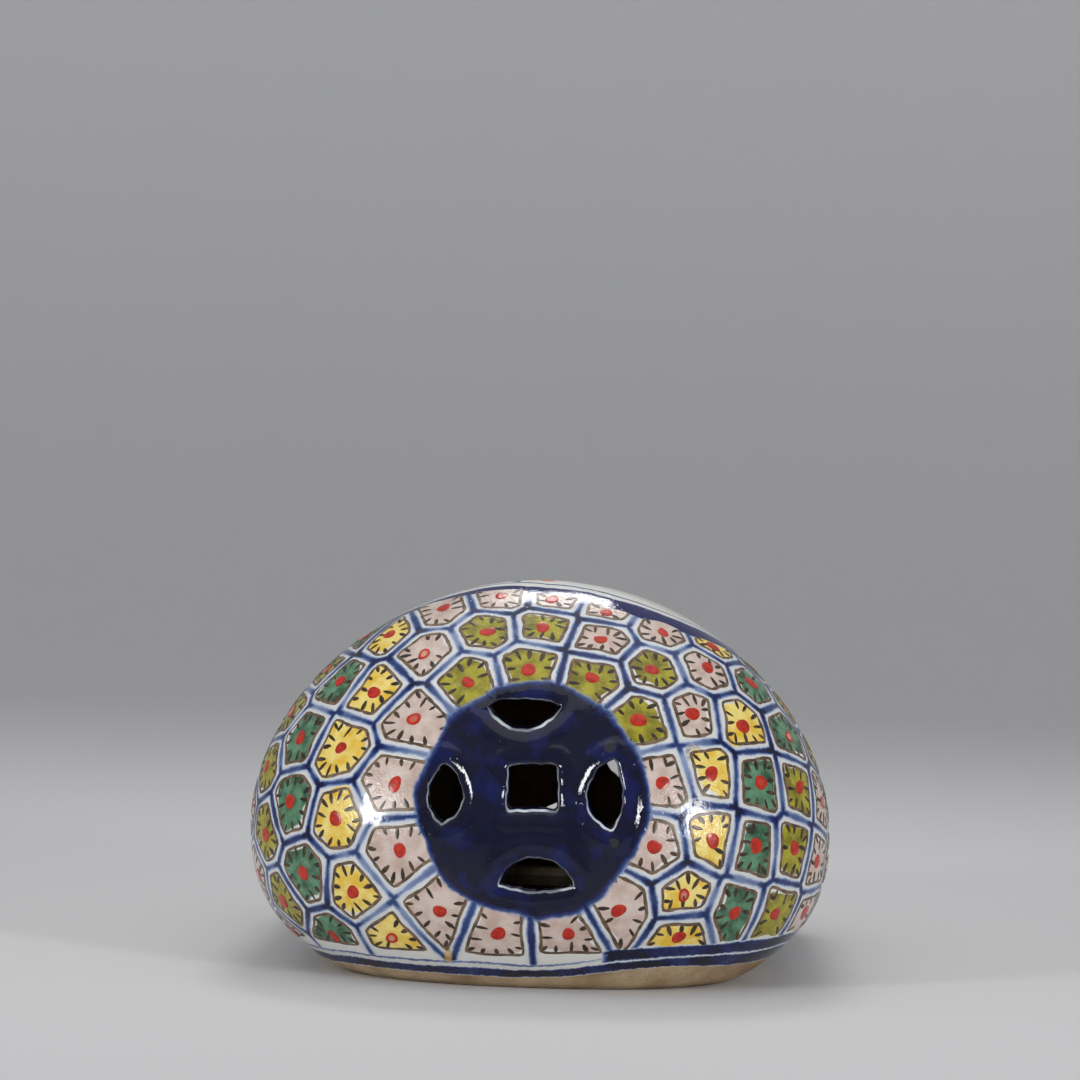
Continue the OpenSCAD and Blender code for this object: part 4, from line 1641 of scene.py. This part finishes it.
for fromX, fromY, toX, toY, bow, leaves, size in sprayStems:
    run = np.array([toX - fromX, toY - fromY], float)
    length = np.linalg.norm(run)
    along = np.linspace(0, 1, round(length / stemStep) + 1)
    arch = (4 * bow * along * (1 - along))[:, None] * (np.array([-run[1], run[0]]) / length)
    line = np.array([fromX, fromY]) + along[:, None] * run + arch
    ahead = unit(np.gradient(line, axis=0))
    plan["edges"] += ringPairs(len(line), len(plan["verts"]))[:-1]
    for spot, heading in zip(line, ahead):
        addSprayPoint("stem", spot, heading, 1.0)
    for leaf in range(leaves):
        k = int((leaf + 0.5) / (leaves + 0.6) * (len(line) - 1))
        swing = (1 if leaf % 2 else -1) * random.uniform(*sprayVaries["leafSwing"])
        addSprayPoint("leaf", line[k], turned(ahead[k], swing), random.uniform(*sprayVaries["leafSize"]))
    start = random.uniform(0, 360 / petals)
    for petal in range(petals):
        way = turned(ahead[-1], start + 360 / petals * petal + random.uniform(*sprayVaries["petalSwing"]))
        grown = size * random.uniform(*sprayVaries["petalSize"])
        addSprayPoint("petal", line[-1] + way * petalOut * size, way, grown)
    addSprayPoint("heart", line[-1], ahead[-1], size)
sprayVerts = onTop(np.array(plan["verts"]))
plan["facing"] = bodyNormal(sprayVerts)
plan["verts"] = glazeSkin(sprayVerts, plan["facing"], spray["Bed"] / mm)


def bladeShape(name, widest, blunt, back):  # a leaf, petal or round heart, one long, seen from above
    places, across = (0.0, 0.08, 0.22, 0.4, 0.6, 0.78, 0.92, 1.0), (-1.0, -0.6, 0.0, 0.6, 1.0)
    verts, share, edge, rise = [], [], [], []
    for x in places:
        width = widest * (0.02 + math.sin(math.pi * x ** blunt) ** 0.7)
        for v in across:
            verts.append((x - back, v * width, 0.0))
            share.append(x)
            edge.append(abs(v))
            rise.append(0.0 if abs(v) == 1 or x in (0.0, 1.0) else 1.0)
    faces = netFaces(len(places), len(across))
    return addShape(name, verts, faces, {"share": share, "edge": edge, "rise": rise})


def sprayEnamel(place):
    kind, share, edge = (field(place, name) for name in ("kind", "share", "edge"))
    tone = (kind + 0.5) / len(sprayKinds)
    light, strong = washes(tone, sprayTints)
    brushed = cloud(place, "sprayBrush")
    lighter = ease(*sprayPaint["lighter"], (share + brushed) * sprayPaint["lightShare"])
    colour = blend(lighter, strong, light)
    vein = fade(*sprayPaint["vein"], edge) * ease(*sprayPaint["veinTones"], tone)
    outline = ease(*sprayPaint["outline"], edge).atLeast(vein) * fade(*sprayPaint["outlineTones"], tone)
    deepened = {0: 1.0, 6: strong, 7: sprayPaint["lineTint"]}
    dark = out(place.tree, "ShaderNodeMix", deepened, 2, data_type="RGBA", blend_type="MULTIPLY")
    colour = blend(outline * sprayPaint["lineInk"], colour, dark)
    return surface("spray", colour, brushed, brushed)


def sprayTree():
    shapes = {"Petal": "Petal Length", "Leaf": "Leaf Length", "Heart": "Heart Size"}
    tree, given = newTree("flowerSpray", spray, [*shapes, "Panel"], "Paint")
    kind, size, rise = (named(tree, name, "FLOAT") for name in ("kind", "size", "rise"))
    turn = standing(named(tree, "facing"), named(tree, "heading"))
    parts = []
    for shape, length in shapes.items():
        code = float(sprayKinds.index(shape.lower()))
        chosen = out(tree, "FunctionNodeCompare", {0: kind, 1: code}, operation="EQUAL")
        points = out(tree, "GeometryNodeMeshToPoints", {0: given["Geometry"], "Selection": chosen})
        parts.append(placeShape(points, given[shape], turn, size * given[length]))
    # laid down onto the skin of the panel
    skin = out(tree, "GeometryNodeObjectInfo", {"Object": given["Panel"]}, "Geometry")
    above = moved(out(tree, "GeometryNodeInputPosition"), (0.0, 0.0, rayRise))
    hit = put(tree, "GeometryNodeRaycast", {"Target Geometry": skin, "Source Position": above,
                                            "Ray Direction": (0.0, 0.0, -1.0), "Ray Length": rayLength})
    hitSpot, hitNormal = Wire(hit.outputs["Hit Position"]), Wire(hit.outputs["Hit Normal"])
    bed = rise * given["Thickness"] + kind * given["Lap"] + given["Bed"]
    laid = {"Geometry": realize(parts), "Position": moved(hitSpot, scaled(hitNormal, bed))}
    blades = out(tree, "GeometryNodeSetPosition", laid)
    curve = out(tree, "GeometryNodeMeshToCurve", {0: given["Geometry"]})
    press = randomFloat(*sprayVaries["press"], given["Seed"])
    stem = brushLine(curve, given["Stem Width"], given["Thickness"], press)
    return finishTree([stem, blades], given["Paint"])


blades = {"Petal": bladeShape("petalShape", 0.42, 1.5, 0.0),
          "Leaf": bladeShape("leafShape", 0.2, 0.8, 0.0),
          "Heart": bladeShape("heartShape", 0.5, 1.0, 0.5)}
flowerSprays = runTree("flowerSprays", addGuide("sprayPlan", **plan), sprayTree(),
                       {**spray, "Panel": headrest, "Paint": makeMaterial(sprayEnamel)}, blades)
print("flower sprays, faces", len(flowerSprays.data.polygons))

# Luting coils stay as they are, with a clay finish
for nodeName in ("headrest_coil", "base_coil", "near_coin_coil", "far_coin_coil",
                 "left_seam_coil", "right_seam_coil"):
    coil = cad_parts[nodeName]
    for slotIndex in range(len(coil.data.materials)):
        coil.material_slots[slotIndex].material = innerClay
    if not coil.data.materials:
        coil.data.materials.append(innerClay)

# Each piece rides on the one body, and some stand for their solids
for nodeName, (piece, slotName) in standsFor.items():
    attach(piece, "root")
    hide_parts(nodeName)
for piece in (patches, brushwork, coralDots):
    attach(piece, "root")
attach(flowerSprays, "root")

# Floor, light and camera
studio = {
    "rings": (0.3, 0.7, 1.2),
    "flatR": 2.0,        # flat floor, then a cove up to a round wall, so no horizon shows
    "coveR": 1.2,
    "coveCuts": 13,
    "wallTop": 3.0,
    "segments": 72,
    "floorTint": tint(214, 214, 215),
    "wallTint": tint(246, 246, 247),
    "speckTint": tint(192, 192, 195),
    "speckInk": 0.1,
    "floorRough": 0.8,
    "floorShine": 0.2,
    "worldTint": tint(238, 239, 240),
    "worldStrength": 0.48,
    "lamps": {           # place, aim, width and height, watts, spread in degrees
        "leftBox": ((-0.82, -0.79, 0.35), (0, -0.08, 0.06), (0.15, 0.34), 0.36, 50.0),  # kept off the floor
        "rightBox": ((0.78, -0.83, 0.35), (0, -0.08, 0.06), (0.15, 0.34), 0.36, 50.0),
        "topBox": ((0.0, 0.52, 0.99), (0, -0.05, 0.08), (0.3, 0.2), 2.2, 180.0),
        "ceilingBox": ((0.0, 0.0, 2.4), (0, 0, 0), (2.4, 2.4), 11.0, 180.0),
    },
}


def paleFloor(place):
    rise = ease(0.0, studio["coveR"] / mm, axes(place)[2])
    colour = blend(rise, studio["floorTint"], studio["wallTint"])
    colour = blend(cloud(place, "floorSpeck") * studio["speckInk"], colour, studio["speckTint"])
    rough, shine = studio["floorRough"], studio["floorShine"]
    return {"Base Color": colour, "Roughness": rough, "Specular IOR Level": shine}


def makeFloor():
    flatR, coveR, count = studio["flatR"], studio["coveR"], studio["segments"]
    profile = [(r, 0.0) for r in studio["rings"]]
    profile += [(flatR + coveR * math.sin(t), coveR * (1 - math.cos(t)))
                for t in np.linspace(0, np.pi / 2, studio["coveCuts"])]
    profile.append((flatR + coveR, studio["wallTop"]))
    swing = circleOf(count)
    verts = [(r * math.cos(t), r * math.sin(t), z) for r, z in profile for t in swing] + [(0, 0, 0)]
    faces = flipped(ringFaces(len(profile), count))
    faces += [(a, b, len(verts) - 1) for a, b in ringPairs(count)]
    return addMesh("floor", np.array(verts) / mm, faces, [makeMaterial(paleFloor)], outward=False)


def softBox(name, place, aim, size, power, spread):
    light = bpy.data.lights.new(name, "AREA")
    light.shape = "RECTANGLE"
    light.size, light.size_y = size
    light.energy = power
    light.spread = math.radians(spread)
    lamp = addObject(name, light)
    lamp.location = place
    lamp.rotation_euler = (Vector(aim) - Vector(place)).to_track_quat("-Z", "Y").to_euler()
    lamp.visible_camera = False


floor = makeFloor()
world = bpy.data.worlds.new("studioWorld")
world.use_nodes = True
scene.world = world
world.node_tree.nodes["Background"].inputs[0].default_value = studio["worldTint"]
world.node_tree.nodes["Background"].inputs[1].default_value = studio["worldStrength"]
for name, settings in studio["lamps"].items():
    softBox(name, *settings)

# Camera where the photograph was taken from
shot = {
    "target": (0.0, -0.060, 0.055),
    "distance": 0.900,
    "azimuth": 2.35,
    "elevation": 3.73,
    "roll": 1.66,
    "lens": 99.7,
    "sensor": 36.0,
    "imageSide": 1080,
    "targetPixel": (547.9, 787.4),  # where the target lies in the photograph before the roll
}
focal = shot["lens"] / shot["sensor"] * shot["imageSide"]
azimuth, elevation, roll = (math.radians(shot[name]) for name in ("azimuth", "elevation", "roll"))
level = math.cos(elevation)
backward = Vector((math.sin(azimuth) * level, -math.cos(azimuth) * level, math.sin(elevation)))
turnLeft, tiltUp = (math.atan((pixel - shot["imageSide"] / 2) / focal) for pixel in shot["targetPixel"])
aim = (-backward).to_track_quat("-Z", "Y")
aim = aim @ Quaternion((0, 1, 0), turnLeft) @ Quaternion((1, 0, 0), tiltUp) @ Quaternion((0, 0, 1), roll)
camera = addObject("photoCamera", bpy.data.cameras.new("photoCamera"))
camera.data.lens = shot["lens"]
camera.data.sensor_width = shot["sensor"]
camera.location = Vector(shot["target"]) + backward * shot["distance"]
camera.rotation_mode = "QUATERNION"
camera.rotation_quaternion = aim
scene.camera = camera
scene.view_settings.view_transform = "Standard"
print("studio and camera set")
